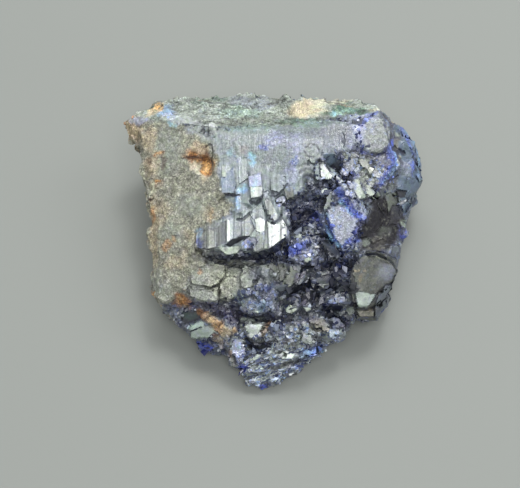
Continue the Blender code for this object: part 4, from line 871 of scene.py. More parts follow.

# What each point is made of: the colour of its mineral, how earthy it is, and how far it lies in a hollow.
# Each patch: mineral, how solid, then the middle, half width, half height and turn, from the lowest up.
# many of the black, navy, plum and slate patches below are painted shade: clefts, the valley beside the
# crystal row and ground under overhangs
PATCHES = [
    ("grey", 0.95, 200, 129, 18, 9, 15), ("rock_light", 0.8, 221, 279, 17, 23),
    ("slate", 0.75, 263, 276, 14, 10), ("black", 0.5, 328, 269, 20, 10), ("lilac", 0.7, 348, 253, 6, 11),
    ("black", 0.7, 292, 224, 4, 11), ("lilac", 0.6, 340, 182, 10, 12),
    ("lilac_pale", 0.5, 364, 206, 7, 10, -30), ("lavender", 0.5, 322, 224, 6, 11, -15),
    ("clay", 0.6, 318, 114, 12, 3), ("black", 0.6, 396, 213, 6, 8), ("slab", 0.8, 180, 215, 40, 70),
    ("brown", 0.85, 134, 132, 9, 15, -25), ("tan", 0.6, 150, 140, 8, 14, 10),
    ("tan", 0.8, 134, 128, 8, 12), ("lilac_pale", 0.5, 133, 119, 6, 4), ("tan", 0.5, 152, 165, 7, 12),
    ("tan", 0.6, 154, 232, 5, 42), ("brown", 0.45, 148, 168, 5, 12), ("tan", 0.4, 160, 212, 10, 14),
    ("tan", 0.35, 208, 212, 9, 8), ("tan", 0.3, 211, 214, 4, 8, 5), ("tan", 0.35, 192, 235, 10, 7, 20),
    ("grey", 0.8, 210, 134, 9, 9), ("tan", 0.4, 176, 262, 12, 8), ("brown", 0.35, 186, 252, 5, 6),
    ("teal_grey", 0.35, 168, 150, 14, 26), ("teal_grey", 0.3, 190, 205, 18, 12),
    ("teal_grey", 0.3, 172, 232, 12, 10), ("grey", 0.35, 156, 282, 7, 14),
    ("pale", 0.25, 166, 292, 7, 12), ("brown", 0.7, 157, 155, 6, 5), ("rust", 0.6, 157, 154, 4, 2),
    ("cream", 0.7, 156, 158, 2, 2), ("rust_dark", 0.5, 163, 163, 3, 8),
    ("rust_dark", 0.4, 149, 161, 3, 4), ("brown", 0.7, 156, 183, 7, 6, -20),
    ("rust", 0.7, 156, 182, 4, 2, -20), ("clay", 0.9, 153, 190, 3, 5),
    ("rust_dark", 0.8, 151, 199, 4, 3), ("rust", 0.6, 153, 215, 3, 10), ("rust", 0.5, 166, 246, 5, 5),
    ("rust", 0.4, 173, 240, 3, 3), ("rust", 0.45, 200, 272, 3, 3), ("rust", 0.2, 213, 216, 2, 7, 5),
    ("rust", 0.95, 200, 158, 14, 8, 20), ("rust_dark", 0.8, 202, 152, 10, 6, 20),
    ("rust_dark", 0.95, 196, 158, 12, 3, 8), ("tan", 0.7, 200, 147, 9, 5),
    ("rust", 1.0, 207, 169, 6, 10, 15), ("amber", 0.9, 206, 167, 4, 7, 10),
    ("cream", 0.9, 195, 168, 9, 3, 42), ("cream", 0.8, 205, 180, 5, 5),
    ("clay", 0.8, 198, 172, 6, 2, 45), ("steel", 0.5, 218, 142, 8, 10), ("rust", 0.9, 182, 300, 8, 8),
    ("amber", 0.5, 183, 298, 3, 4), ("band", 0.8, 200, 112, 60, 12), ("amber", 0.9, 156, 108, 9, 4, -32),
    ("cream", 0.8, 151, 113, 8, 3, -32), ("vivid", 0.35, 168, 113, 7, 5),
    ("sky", 0.6, 166, 110, 9, 4, -20), ("lavender", 0.6, 141, 121, 9, 4),
    ("lilac_pale", 0.7, 175, 117, 10, 4, 20), ("turquoise", 0.5, 172, 124, 5, 3, 30),
    # the near-white streak on the back band's crest is a painted highlight
    ("pale", 0.6, 186, 120, 14, 5, 5), ("white_glint", 0.95, 214, 124, 7, 2.2), ("pale", 0.7, 203, 125, 6, 2),
    ("green", 0.35, 199, 101, 8, 4), ("green", 0.5, 219, 98, 8, 5), ("lavender", 0.3, 240, 101, 14, 6),
    ("grey", 0.4, 208, 117, 16, 3, 5), ("mint", 0.45, 240, 112, 24, 5),
    ("lavender", 0.3, 262, 104, 12, 8), ("band", 0.5, 222, 132, 14, 5), ("mint", 0.35, 250, 128, 30, 5),
    ("clay", 1.0, 309, 107, 20, 10, -20), ("cream", 0.9, 305, 105, 15, 6, -25),
    ("clay", 0.7, 318, 101, 6, 4), ("clay", 0.8, 330, 101, 22, 4), ("cream", 0.7, 298, 113, 9, 5),
    ("tan", 0.5, 314, 111, 14, 2, -4), ("green", 0.85, 344, 108, 14, 3, -3),
    ("green", 0.8, 358, 112, 14, 4), ("green", 0.7, 330, 113, 10, 3, -10),
    ("mint", 0.8, 342, 113, 14, 4, -5), ("turquoise", 0.6, 333, 113, 3, 3),
    ("clay", 0.7, 374, 110, 9, 2.5, -8), ("green", 0.6, 296, 121, 26, 3),
    ("green", 0.6, 388, 108, 6, 5, 30), ("mint", 0.4, 310, 123, 20, 4),
    ("lavender", 0.85, 276, 140, 14, 9, -10), ("vivid", 0.85, 264, 147, 5, 4, -20),
    ("lavender", 0.7, 296, 145, 10, 12), ("vivid", 0.7, 294, 163, 5, 7, 20),
    ("lavender", 0.75, 290, 175, 9, 9), ("lilac_pale", 0.5, 288, 182, 8, 8),
    ("pale", 0.5, 313, 148, 12, 12), ("olive", 0.35, 268, 158, 4, 8, -20),
    ("olive", 0.35, 276, 180, 3, 3), ("turquoise", 0.75, 252, 159, 4, 6),
    ("turquoise", 0.4, 230, 153, 5, 5), ("turquoise", 0.7, 241, 188, 6, 4), ("sky", 0.7, 238, 201, 3, 9),
    ("lilac_pale", 0.5, 238, 158, 5, 6), ("tan_pale", 0.4, 244, 150, 6, 5),
    ("turquoise", 0.4, 254, 183, 3, 8), ("sky", 0.7, 243, 190, 5, 3),
    ("vivid_deep", 0.8, 199, 244, 4, 5), ("sky", 0.6, 199, 235, 2.5, 7),
    ("slate", 0.42, 334, 138, 26, 12), ("lavender", 0.25, 332, 140, 30, 12),
    ("olive", 0.5, 363, 141, 3, 3), ("lavender", 0.55, 358, 128, 7, 12), ("lilac", 0.6, 357, 141, 8, 6),
    ("lavender", 0.4, 372, 116, 8, 5), ("vivid_deep", 0.8, 364, 153, 5, 2.5),
    ("violet", 0.6, 380, 162, 12, 8), ("vivid", 1.0, 394, 160, 3.5, 12, -8),
    ("vivid", 1.0, 391, 176, 4, 8, 40), ("sky", 0.6, 395, 170, 2.5, 8, 10),
    ("lilac_pale", 0.5, 398, 166, 2, 6), ("navy", 0.8, 399, 150, 6, 3, 20),
    ("plum", 0.5, 397, 138, 5, 9), ("tan_grey", 0.6, 397, 143, 5, 6), ("pale", 0.8, 396, 134, 2, 3),
    ("clay", 0.7, 400, 157, 3, 2), ("vivid", 0.5, 405, 134, 3, 12, -35),
    ("blue_grey", 0.6, 409, 140, 4, 16, -30), ("sky", 0.3, 419, 176, 4, 4),
    ("lilac", 0.6, 406, 170, 6, 8), ("vivid", 0.6, 412, 168, 4, 6), ("black", 0.8, 416, 169, 3, 2),
    ("blue_grey", 0.7, 420, 186, 5, 7, 20), ("vivid", 0.7, 353, 174, 5, 4),
    ("vivid", 0.6, 356, 186, 4, 4), ("violet", 0.5, 352, 178, 6, 8),
    ("vivid_deep", 0.9, 344, 196, 3, 8, -30), ("turquoise", 0.6, 343, 204, 3, 3),
    ("vivid", 0.9, 352, 211, 4, 8, -20), ("violet", 0.8, 360, 219, 7, 3, 20),
    ("lavender", 0.5, 354, 226, 5, 6), ("vivid", 0.8, 352, 240, 8, 4),
    ("vivid_deep", 0.95, 316, 217, 5, 5), ("sky", 0.7, 326, 217, 5, 4),
    ("lavender", 0.7, 324, 226, 5, 6), ("turquoise", 0.6, 331, 238, 3, 4, -40),
    ("sky", 0.9, 337, 245, 3, 5, -35), ("vivid_deep", 1.0, 403, 236, 5, 5),
    ("violet", 0.8, 402, 231, 6, 4), ("teal_pale", 0.5, 404, 224, 4, 3),
    ("vivid", 0.9, 295, 249, 8, 5, -30), ("vivid_deep", 0.9, 290, 251, 4, 4),
    ("vivid", 0.8, 303, 243, 5, 3, -30), ("vivid_deep", 0.8, 324, 267, 6, 2),
    ("lilac", 0.6, 314, 253, 6, 6), ("tan_pale", 0.5, 317, 246, 3, 2, 30),
    ("vivid_deep", 0.8, 343, 263, 5, 3), ("tan", 0.5, 357, 271, 2, 2), ("tan", 0.4, 361, 279, 2, 3),
    ("amber", 0.4, 356, 286, 2, 1), ("tan", 0.4, 364, 272, 2, 1),
    ("corner_smooth", 0.5, 387, 270, 12, 13, 25), ("black", 0.8, 360, 262, 5, 3, -20),
    ("black", 0.7, 375, 266, 3, 2, 30), ("pale_green", 0.5, 366, 242, 4, 5, 20),
    ("tan_grey", 0.5, 380, 248, 4, 3, -20), ("slope", 0.8, 392, 216, 8, 12, 20),
    ("olive", 0.45, 384, 231, 7, 5, -20), ("tan_grey", 0.3, 378, 240, 7, 4, -20),
    ("grey", 0.3, 386, 192, 8, 4, -20), ("lavender", 0.2, 388, 272, 9, 9),
    ("brown", 0.5, 368, 309, 7, 2), ("vivid_deep", 0.4, 331, 304, 12, 2),
    ("lavender", 0.4, 338, 298, 8, 2), ("violet", 0.7, 266, 293, 12, 8),
    ("teal_pale", 0.5, 240, 297, 6, 7), ("vivid", 0.45, 254, 303, 7, 4), ("sky", 0.45, 262, 306, 9, 5),
    ("vivid_deep", 0.6, 266, 285, 7, 3), ("rust", 0.7, 204, 315, 7, 4, 25),
    ("rust", 0.6, 218, 325, 9, 4, 35), ("rust_dark", 0.8, 216, 337, 4, 3),
    ("tan", 0.8, 212, 320, 9, 5, 30), ("tan", 0.75, 226, 332, 8, 6, 40), ("amber", 0.5, 234, 330, 3, 4),
    ("amber", 0.35, 216, 324, 10, 5, 35), ("tan", 0.6, 220, 341, 8, 3, 15),
    ("rust", 0.7, 269, 323, 4, 4), ("green", 0.3, 190, 316, 8, 5), ("turquoise", 0.4, 239, 347, 3, 4),
    ("lavender", 0.6, 236, 343, 3, 5), ("rust", 0.5, 229, 354, 2.5, 6, -15),
    ("plum", 0.5, 226, 350, 4, 8), ("tan_grey", 0.5, 232, 361, 4, 7, -15),
    ("sky", 0.4, 308, 352, 10, 3, -12), ("vivid", 0.45, 314, 352, 8, 5, -30),
    ("vivid", 0.4, 322, 346, 6, 3), ("turquoise", 0.5, 321, 349, 3, 3), ("violet", 0.7, 338, 322, 10, 6),
    ("lilac_pale", 0.7, 335, 333, 4, 4), ("lavender", 0.5, 334, 337, 5, 3),
    ("plum", 0.7, 300, 322, 18, 4), ("tan_grey", 0.5, 320, 326, 9, 5), ("tan_grey", 0.4, 290, 342, 8, 5),
    ("vivid_deep", 0.9, 242, 368, 4, 4), ("vivid_deep", 1.0, 264, 385, 4, 3),
    ("pale", 0.35, 262, 352, 9, 5), ("lilac_pale", 0.4, 282, 334, 12, 6),
    ("tan_grey", 0.4, 284, 366, 8, 4), ("vivid_deep", 0.4, 296, 368, 12, 3, -30),
    # from here most dark patches are painted shade: under the crystal row, in the valley beside it, under the
    # step below the front druse, on the rock lying in that shade, and in the clefts of the broken ground
    ("black", 0.7, 236, 259, 42, 2.6, 2), ("navy", 0.8, 272, 254, 16, 6, -25),
    ("navy", 0.8, 304, 206, 12, 10, -40), ("plum", 0.7, 300, 216, 13, 9), ("navy", 0.7, 296, 226, 8, 6),
    ("steel", 0.5, 303, 189, 6, 8), ("grey", 0.4, 312, 178, 5, 6), ("lilac", 0.5, 349, 187, 6, 11),
    ("lilac_pale", 0.4, 324, 221, 5, 11, -15), ("lavender", 0.6, 336, 189, 6, 5, 30),
    ("vivid", 0.6, 341, 194, 4, 3, 30), ("black", 0.3, 322, 186, 8, 3, -30),
    ("slate", 0.5, 334, 132, 20, 9), ("black", 0.6, 300, 292, 20, 4, -20),
    ("black", 0.7, 264, 315, 17, 2), ("olive", 0.25, 228, 266, 22, 4), ("black", 0.5, 311, 267, 13, 6),
    ("black", 0.6, 332, 249, 8, 5, 40), ("slate", 0.6, 282, 332, 8, 5), ("plum", 0.6, 312, 319, 9, 4),
    ("plum", 0.5, 278, 320, 7, 5), ("slate", 0.6, 290, 223, 3, 7), ("slate", 0.5, 277, 212, 4, 4),
    ("slate", 0.8, 335, 322, 12, 7), ("slate", 0.5, 258, 272, 9, 5), ("black", 0.6, 397, 212, 6, 8),
    ("slate", 0.3, 357, 130, 8, 14), ("plum", 0.45, 334, 276, 14, 8), ("plum", 0.5, 305, 300, 20, 6),
    ("black", 0.5, 349, 313, 6, 6),
]
# Ribs, rims and streaks: mineral, how solid, width in squares, and run.
STROKES = [
    ("violet", 0.7, 9, [(388, 150), (392, 162), (386, 178), (376, 188)]),
    ("vivid", 1.0, 5, [(391, 141), (390, 155), (395, 161), (388, 173), (381, 184)]),
    ("sky", 0.6, 1.6, [(393, 150), (397, 161), (390, 174), (384, 182)]),
    ("blue_grey", 0.9, 7, [(400, 123), (410, 138), (420, 150), (422, 176), (415, 190)]),
    ("vivid", 0.55, 3, [(401, 128), (409, 142), (414, 156), (413, 170)]),
    ("sky", 0.35, 2, [(405, 130), (414, 143), (419, 156), (419, 176)]),
    ("vivid", 0.9, 7, [(338, 190), (346, 202), (356, 213), (364, 219)]),
    ("sky", 0.8, 2, [(341, 198), (346, 207), (353, 215)]),
    ("vivid_deep", 0.8, 3, [(344, 194), (352, 206), (360, 213)]),
    ("lavender", 0.6, 3, [(349, 196), (358, 208), (366, 216)]),
    ("sky", 0.9, 3, [(327, 227), (332, 236), (338, 246)]),
    ("vivid", 0.8, 3, [(326, 218), (330, 230), (336, 241)]),
    ("vivid", 0.7, 3, [(343, 246), (352, 239), (357, 228)]),
    ("violet", 0.7, 3, [(352, 240), (358, 230), (364, 221)]),
    ("vivid", 0.6, 3, [(361, 126), (370, 116), (378, 112)]),
    ("lavender", 0.6, 4, [(359, 140), (358, 128), (366, 118)]),
    ("vivid_deep", 0.6, 3, [(386, 152), (376, 156), (364, 153), (357, 148)]),
    ("pale", 0.7, 1.3, [(303, 145), (308, 139), (317, 138), (322, 143)]),
    ("pale", 0.7, 1.3, [(305, 156), (311, 160), (318, 158), (322, 152)]),
    ("slate", 1.0, 1.8, [(306, 147), (311, 143), (317, 144), (319, 150)]),
    ("pale", 0.6, 1.2, [(309, 149), (314, 147), (317, 151), (313, 155)]),
    ("slate", 1.0, 1.6, [(304, 151), (308, 156), (314, 157)]),
    ("slate", 0.7, 1.9, [(299, 166), (305, 163), (309, 164)]),
    ("pale", 0.7, 1.7, [(299, 169), (305, 166), (310, 167)]),
    ("slate", 0.7, 1.9, [(300, 172), (306, 169), (311, 170)]),
    ("pale", 0.7, 1.7, [(301, 175), (307, 172), (312, 173)]),
    ("slate", 0.7, 1.9, [(303, 178), (308, 175), (313, 176)]),
    # the shadow line under the column ends: painted shadow
    ("black", 0.85, 2.2, [(224, 194), (231, 195), (240, 195)]),
    ("slate", 0.6, 1.2, [(276, 233), (276, 243)]),
    ("slate", 0.6, 1.2, [(363, 301), (370, 298), (377, 296)]),
    ("slate", 0.6, 1.2, [(365, 305), (371, 302), (376, 300)]),
    ("slate", 0.8, 1.3, [(270, 238), (279, 231), (287, 226)]),
    ("slate", 0.5, 1.0, [(281, 230), (281, 240)]),
]
points, normals = points_of(lump.data), normals_of(lump.data)
across, down = on_sheet(points)
seen = in_view(points, normals)
x = across + wobble(points, 1.6 * MM, 3.0) * 4.0 + wobble(points, 0.5 * MM, 4.0) * 2.0
y = down + wobble(points, 1.6 * MM, 8.0) * 4.0 + wobble(points, 0.5 * MM, 9.0) * 2.0
hidden = 1.0 - seen
left_side = ease(-points[:, 0], 13 * MM, 18 * MM)
back_side = ease(points[:, 1], 14 * MM, 20 * MM)
underside = ease(-normals[:, 2], 0.7, 0.95)
patchy = wobble(points, 5.0 * MM, 21.0)
patchy_fine = wobble(points, 1.6 * MM, 31.0)

colours = np.tile(np.array(MINERALS["deep"][0]), (len(points), 1))
earthy = np.zeros(len(points))
sparkle = np.full(len(points), 0.5)


def lay(mineral, amount):
    """Covers what lies below with the mineral, as far as the amount."""
    colour, earth, glitter = MINERALS[mineral]
    colours[:] += (np.array(colour) - colours) * amount[:, None]
    earthy[:] += (earth - earthy) * amount
    sparkle[:] += (glitter - sparkle) * amount


lay("grey", ease(patchy_fine, 0.05, 0.35) * 0.45)
lay("vivid_deep", ease(patchy_fine + patchy, 0.25, 0.5) * hidden * 0.9)
lay("slab", hidden * most_of(
    left_side, back_side * ease(patchy, -0.25, 0.15), underside * 0.9, ease(patchy, 0.2, 0.4) * 0.7))
lay("rust", hidden * ease(patchy_fine + patchy * 0.4, 0.3, 0.5) * (left_side * 0.8 + back_side * 0.6))
lay("tan", hidden * ease(patchy - patchy_fine * 0.5, 0.3, 0.5) * np.maximum(back_side, left_side) * 0.8)
lay("mint", hidden * ease(-patchy + patchy_fine * 0.3, 0.25, 0.45) * back_side * 0.6)
for mineral, outline, soft in (
    ("druse", LOBE, 6), ("druse", DRUSE_BANK, 5), ("slope", DARK_SLOPE, 5), ("blue_grey", RIGHT_RIM, 5),
    ("slate", JUMBLE, 5), ("steel", SHEET, 6), ("lilac", DOME_FOOT, 8), ("band", BACK_BAND, 4),
    ("steel", CRYSTAL_ROW, 2), ("dome", SMOOTH_DOME, 3), ("lilac", MID_LUMP, 3), ("lilac", FRONT_DRUSE, 4),
    ("slab", WEATHERED_SLAB, 4), ("rock", FRONT_BLOCKS, 4), ("corner", CORNER_BLOCK, 3),
    ("plum", DARK_LEDGE, 3),
):
    lay(mineral, area(x, y, outline, soft) * seen)
for mineral, _, _, _, outline in HAND_FACES:
    xs, ys = zip(*outline)
    near = (across > min(xs) - 3) & (across < max(xs) + 3) & (down > min(ys) - 3) & (down < max(ys) + 3)
    amount = np.zeros(len(points))
    crisp = 1.0 if mineral in ("white_glint", "pale", "steel") else 0.75
    amount[near] = area(across[near] * crisp + x[near] * (1.0 - crisp),
                        down[near] * crisp + y[near] * (1.0 - crisp), outline, 1.2) * seen[near]
    lay(mineral, amount)
for mineral, solid, *place in PATCHES:
    lay(mineral, spot(x, y, *place) * seen * solid)
for mineral, solid, wide, run in STROKES:
    distance, _ = from_edge(x * 0.4 + across * 0.6, y * 0.4 + down * 0.6, run, False)
    lay(mineral, (1.0 - ease(distance, wide * 0.3, wide * 0.7)) * seen * solid)

# striped crystals: each flute and layer has its own brightness; on the crystal row it is a painted
# reflection, flute by flute
row = shown(CRYSTAL_ROW, soft=2.0)
sheet = shown(SHEET, soft=2.0) * (1.0 - row)
whole = kept(lump.data, "whole")
flute_reflections = steps_along(across + down * 0.02, 1.25, 41) * 0.55 + steps_along(across + down * 0.02, 3.1,
                                                                           42) * 0.45
streaks = steps_along(across + down * 0.03 + patchy_fine * 3.0, 2.0, 43)
layers = steps_along(down + across * 0.30 + patchy_fine * 3.0, 3.0, 44)
lobe_tip = shown(LOBE_TIP, soft=6.0)
strata = steps_along(down + across * 0.04 + wobble(points, 3.0 * MM, 23.0) * 9.0 + patchy_fine * 1.5, 2.6, 46)
earth_now = np.clip(earthy, 0.0, 1.0) * (1.0 - area(across, down, CLAY) * 0.8)
banded = area(across, down, BACK_BAND, 4.0) * (1.0 - area(across, down, CLAY) * 0.8) * seen
mottle = wobble(points, 1.1 * MM, 51.0) * 0.5 + wobble(points, 0.45 * MM, 52.0) * 0.4
# the front end is painted half again as light: painted light on its front-facing faces
brightness = (1.0 + row * (flute_reflections * 0.75 - 0.1) + sheet * streaks * (0.14 + 0.26 * ease(down, 160, 175))
              + lobe_tip * (layers * 1.1 + 0.50) + banded * strata * 0.45 + earth_now * mottle * 0.9
              - shown(SHEET_TOP, 0.18, 12.0) - shown(RIGHT_RIM, 0.15, 6.0))
colours *= brightness[:, None]
for outline, fade in ((DRUSE_BANK, (0.03, 0.06, 0.14)), (FRONT_DRUSE, (0.27, 0.24, 0.32)),
                      (JUMBLE, (0.16, 0.16, 0.20))):
    colours *= 1.0 - shown(outline, soft=6.0)[:, None] * np.array(fade)
colours = np.clip(colours, 0.01, 0.85)

# how far each point lies below or above its surroundings: the material paints shade into the hollows
# and paints the edges lighter, as rub wear and a painted highlight
FINE_HOLLOW = 0.10 * MM
WIDE_HOLLOW = 0.45 * MM
ends = edge_ends(lump.data)
close_by = levelled(points, ends, 4)
far_off = levelled(close_by, ends, 22)
hollow = ((close_by - points) * normals).sum(1) / FINE_HOLLOW
hollow += ((far_off - points) * normals).sum(1) / WIDE_HOLLOW
# less painted shade in these places
for outline in (DOME_FOOT, SLAB_CORNER, BANK_FOOT, WEDGE_EDGE, CLAY):
    hollow -= shown(outline, soft=5.0)
hollow *= 1.0 - underside
# the crack attribute now also carries the painted shade on the rims of raised faces
crack = np.clip(np.maximum(kept(lump.data, "crack"), kept(lump.data, "painted_rim_shade") * 0.8), 0.0, 1.0)
keep(lump.data, "tint", colours)
keep(lump.data, "earthy", np.clip(earthy, 0.0, 1.0))
keep(lump.data, "sparkle", np.clip(sparkle, 0.0, 1.0))
keep(lump.data, "hollow", np.clip(hollow, -1.0, 1.5))
keep(lump.data, "crack", crack)
keep(lump.data, "crackled", most_of(shown(SHEET_TOP, soft=12.0), shown(WEDGE), shown(SMOOTH_DOME)))
keep(lump.data, "jointed", shown(FRONT_BLOCKS, soft=8.0) * (1.0 - whole))
keep(lump.data, "striated", most_of(shown(SHEET), shown(CRYSTAL_ROW)))


def attribute(tree, name, output="Fac"):
    return add(tree, "ShaderNodeAttribute", attribute_name=name).outputs[output]


def blend_colour(tree, amount, below, above, way="MIX"):
    made = add(tree, "ShaderNodeMix", data_type="RGBA", blend_type=way)
    for socket, value in ((made.inputs[0], amount), (made.inputs[6], below), (made.inputs[7], above)):
        if isinstance(value, bpy.types.NodeSocket):
            tree.links.new(value, socket)
        else:
            socket.default_value = value
    return made.outputs[2]


def shaded(tree, colour, shade, amount=1.0):
    """The colour made lighter or darker by the shade, as far as the amount."""
    grey = add(tree, "ShaderNodeCombineXYZ", {0: shade, 1: shade, 2: shade}).outputs[0]
    return blend_colour(tree, amount, colour, grey, "MULTIPLY")


def mixed(tree, amount, low, high):
    return add(tree, "ShaderNodeMix", {0: amount, 2: low, 3: high}).outputs[0]


def tiny_faces_group():
    """Height of tiny crystal faces, each tilted its own way, and a number of its own for each face."""
    tree = bpy.data.node_groups.new("tiny_faces", "ShaderNodeTree")
    tree.interface.new_socket(name="Vector", in_out="INPUT", socket_type="NodeSocketVector")
    tree.interface.new_socket(name="Face Size", in_out="INPUT", socket_type="NodeSocketFloat")
    tree.interface.new_socket(name="Height", in_out="OUTPUT", socket_type="NodeSocketFloat")
    tree.interface.new_socket(name="Face Number", in_out="OUTPUT", socket_type="NodeSocketFloat")
    given = tree.nodes.new("NodeGroupInput").outputs
    result = tree.nodes.new("NodeGroupOutput")
    cells = add(tree, "ShaderNodeTexVoronoi", {
        "Vector": given["Vector"], "Scale": calc(tree, "DIVIDE", 1.0, given["Face Size"])})
    tree.links.new(own_lean(tree, given["Vector"], cells)[1], result.inputs["Height"])
    number = add(tree, "ShaderNodeSeparateXYZ", {0: cells.outputs["Color"]}).outputs["Y"]
    tree.links.new(number, result.inputs["Face Number"])
    return tree


tiny_faces = tiny_faces_group()
AZURITE_IOR = 1.75
FACE_SIZE = 0.50 * MM
TINY_FACE_SIZE = 0.27 * MM
BLOCK_SIZE = 3.3 * MM
BLOCK_WANDER = (1.1 * MM, 1.1 * MM, 1.1 * MM)
BLUE_FLASH = (0.55, 0.78, 1.60, 1)
PAINTED_WHITE_GLINT = (2.6, 2.55, 2.4, 1)
DARK_SPECK = (0.05, 0.048, 0.040, 1)
PALE_STAIN = (0.42, 0.42, 0.34, 1)
GREENER = (0.94, 1.06, 0.92, 1)
BLUER = (0.99, 0.99, 1.12, 1)
CRYSTAL_SHADE_AND_CRACKS = (0.013, 0.014, 0.034, 1)
ROCK_SHADE_AND_CRACKS = (0.040, 0.038, 0.034, 1)
RUBBED_EDGE_HIGHLIGHT = (1.8, 1.8, 1.75, 1)
LINE_STRETCH = (1.0, 0.05, 0.05)
LINE_RELIEF = 0.10 * MM
DUST_RELIEF = 0.10 * MM
GRAIN_RELIEF = 0.15 * MM


def dress_lump(material):
    """Builds the look of the lump from the colours and amounts that its points carry."""
    material.use_nodes = True
    tree = material.node_tree
    shader = tree.nodes["Principled BSDF"]
    place = add(tree, "ShaderNodeTexCoord").outputs["Object"]

    def mottle(size, detail=3.0, roughness=0.55, source=place):
        return add(tree, "ShaderNodeTexNoise", {
            "Vector": source, "Scale": 1.0 / (size * MM), "Detail": detail,
            "Roughness": roughness}).outputs[0]

    middle, fine, dust = mottle(1.1), mottle(0.40), mottle(0.18, 2.0)
    faces = add(tree, "ShaderNodeGroup", {"Vector": place, "Face Size": FACE_SIZE}, node_tree=tiny_faces)
    glint = faces.outputs["Face Number"]
    earth = attribute(tree, "earthy")
    glitter = attribute(tree, "sparkle")
    crack = attribute(tree, "crack")
    swirl = add(tree, "ShaderNodeTexNoise", {"Vector": place, "Scale": 1.0 / (1.2 * MM),
                                             "Detail": 3.0}).outputs[1]
    bent = add(tree, "ShaderNodeVectorMath", {0: swirl, 1: BLOCK_WANDER, 2: place},
               operation="MULTIPLY_ADD").outputs[0]
    blocks = {"Vector": bent, "Scale": 1.0 / BLOCK_SIZE}
    joints = add(tree, "ShaderNodeTexVoronoi", blocks, feature="DISTANCE_TO_EDGE").outputs["Distance"]
    block = add(tree, "ShaderNodeTexVoronoi", blocks).outputs["Color"]
    jointed = attribute(tree, "jointed")
    block_shade = mixed(tree, jointed, 1.0, span(tree, block, 0.2, 0.8, 0.78, 1.28))
    crack = calc(tree, "MAXIMUM", crack, calc(tree, "MULTIPLY", span(tree, joints, 0.010, 0.034, 0.9,
                                                                     0.0), jointed))
    hollow = attribute(tree, "hollow")

    # each face of a crystal is a little lighter or darker than the next, some turn vivid blue, and a few are
    # painted white as glints
    colour = attribute(tree, "tint", "Color")
    tiny = add(tree, "ShaderNodeGroup", {"Vector": place, "Face Size": TINY_FACE_SIZE}, node_tree=tiny_faces)
    speckle = tiny.outputs["Face Number"]
    face_shade = calc(tree, "MULTIPLY", span(tree, glint, 0.0, 1.0, 0.60, 1.40),
                      span(tree, speckle, 0.0, 1.0, 0.62, 1.38))
    grain = calc(tree, "MULTIPLY", span(tree, dust, 0.3, 0.7, 0.48, 1.52),
                 span(tree, fine, 0.3, 0.7, 0.72, 1.28))
    rough_grain = mixed(tree, earth, span(tree, fine, 0.3, 0.7, 0.88, 1.12), grain)
    colour = shaded(tree, colour, calc(tree, "MULTIPLY", mixed(tree, glitter, 1.0, face_shade), rough_grain))
    flash = calc(tree, "MULTIPLY", glitter, span(tree, glint, 0.80, 0.90, 0.0, 0.7))
    colour = blend_colour(tree, flash, colour, BLUE_FLASH, "MULTIPLY")
    # a few tiny faces painted near-white: painted glints
    painted_glint = calc(tree, "MULTIPLY", glitter, span(tree, speckle, 0.12, 0.06))
    colour = blend_colour(tree, painted_glint, colour, PAINTED_WHITE_GLINT, "MULTIPLY")
    speck = calc(tree, "MULTIPLY", earth, span(tree, mottle(0.26, 2.0), 0.42, 0.30, 0.0, 0.75))
    colour = blend_colour(tree, speck, colour, DARK_SPECK)
    stain = calc(tree, "MULTIPLY", earth, span(tree, middle, 0.55, 0.72, 0.0, 0.35))
    colour = blend_colour(tree, stain, colour, PALE_STAIN)

    # the blocks and the crackle of worn faces each have a shade of their own
    colour = shaded(tree, colour, block_shade)
    crackle = calc(tree, "MULTIPLY", span(tree, mottle(0.24, 4.0, 0.75), 0.38, 0.62, 0.55, 1.40),
                   span(tree, mottle(0.55, 2.0), 0.35, 0.65, 0.80, 1.20))
    crackled = calc(tree, "MAXIMUM", attribute(tree, "crackled"), calc(tree, "MULTIPLY", earth, 0.8))
    colour = shaded(tree, colour, mixed(tree, crackled, 1.0, crackle))

    # and no part of it is one colour: it turns greener, bluer and duller from place to place
    hue = span(tree, mottle(0.85, 2.0), 0.35, 0.65)
    turned = blend_colour(tree, hue, GREENER, BLUER)
    colour = blend_colour(tree, span(tree, earth, 0.0, 1.0, 0.9, 0.5), colour, turned, "MULTIPLY")
    fleck = span(tree, mottle(0.16, 1.0), 0.30, 0.70, 0.62, 1.42)
    colour = shaded(tree, colour, fleck, span(tree, glitter, 0.0, 0.5, 0.35, 0.9))

    # painted shade in the hollows and on the rims of raised faces, dark cracks, and edges painted lighter as
    # rub wear and a painted highlight
    painted_hollow_shade = calc(tree, "MULTIPLY", span(tree, hollow, 0.35, 1.5, 0.0, 0.65),
                       span(tree, earth, 0.3, 1.0, 1.0, 0.6))
    shade_and_cracks = calc(tree, "MAXIMUM", painted_hollow_shade, calc(tree, "MULTIPLY", crack, 0.92))
    colour = blend_colour(tree, shade_and_cracks, colour, blend_colour(tree, earth, CRYSTAL_SHADE_AND_CRACKS, ROCK_SHADE_AND_CRACKS))
    # raised edges painted lighter: rub wear and a painted highlight
    worn = span(tree, hollow, -0.30, -0.9, 0.0, 0.30)
    colour = blend_colour(tree, worn, colour, RUBBED_EDGE_HIGHLIGHT, "MULTIPLY")
    tree.links.new(colour, shader.inputs["Base Color"])

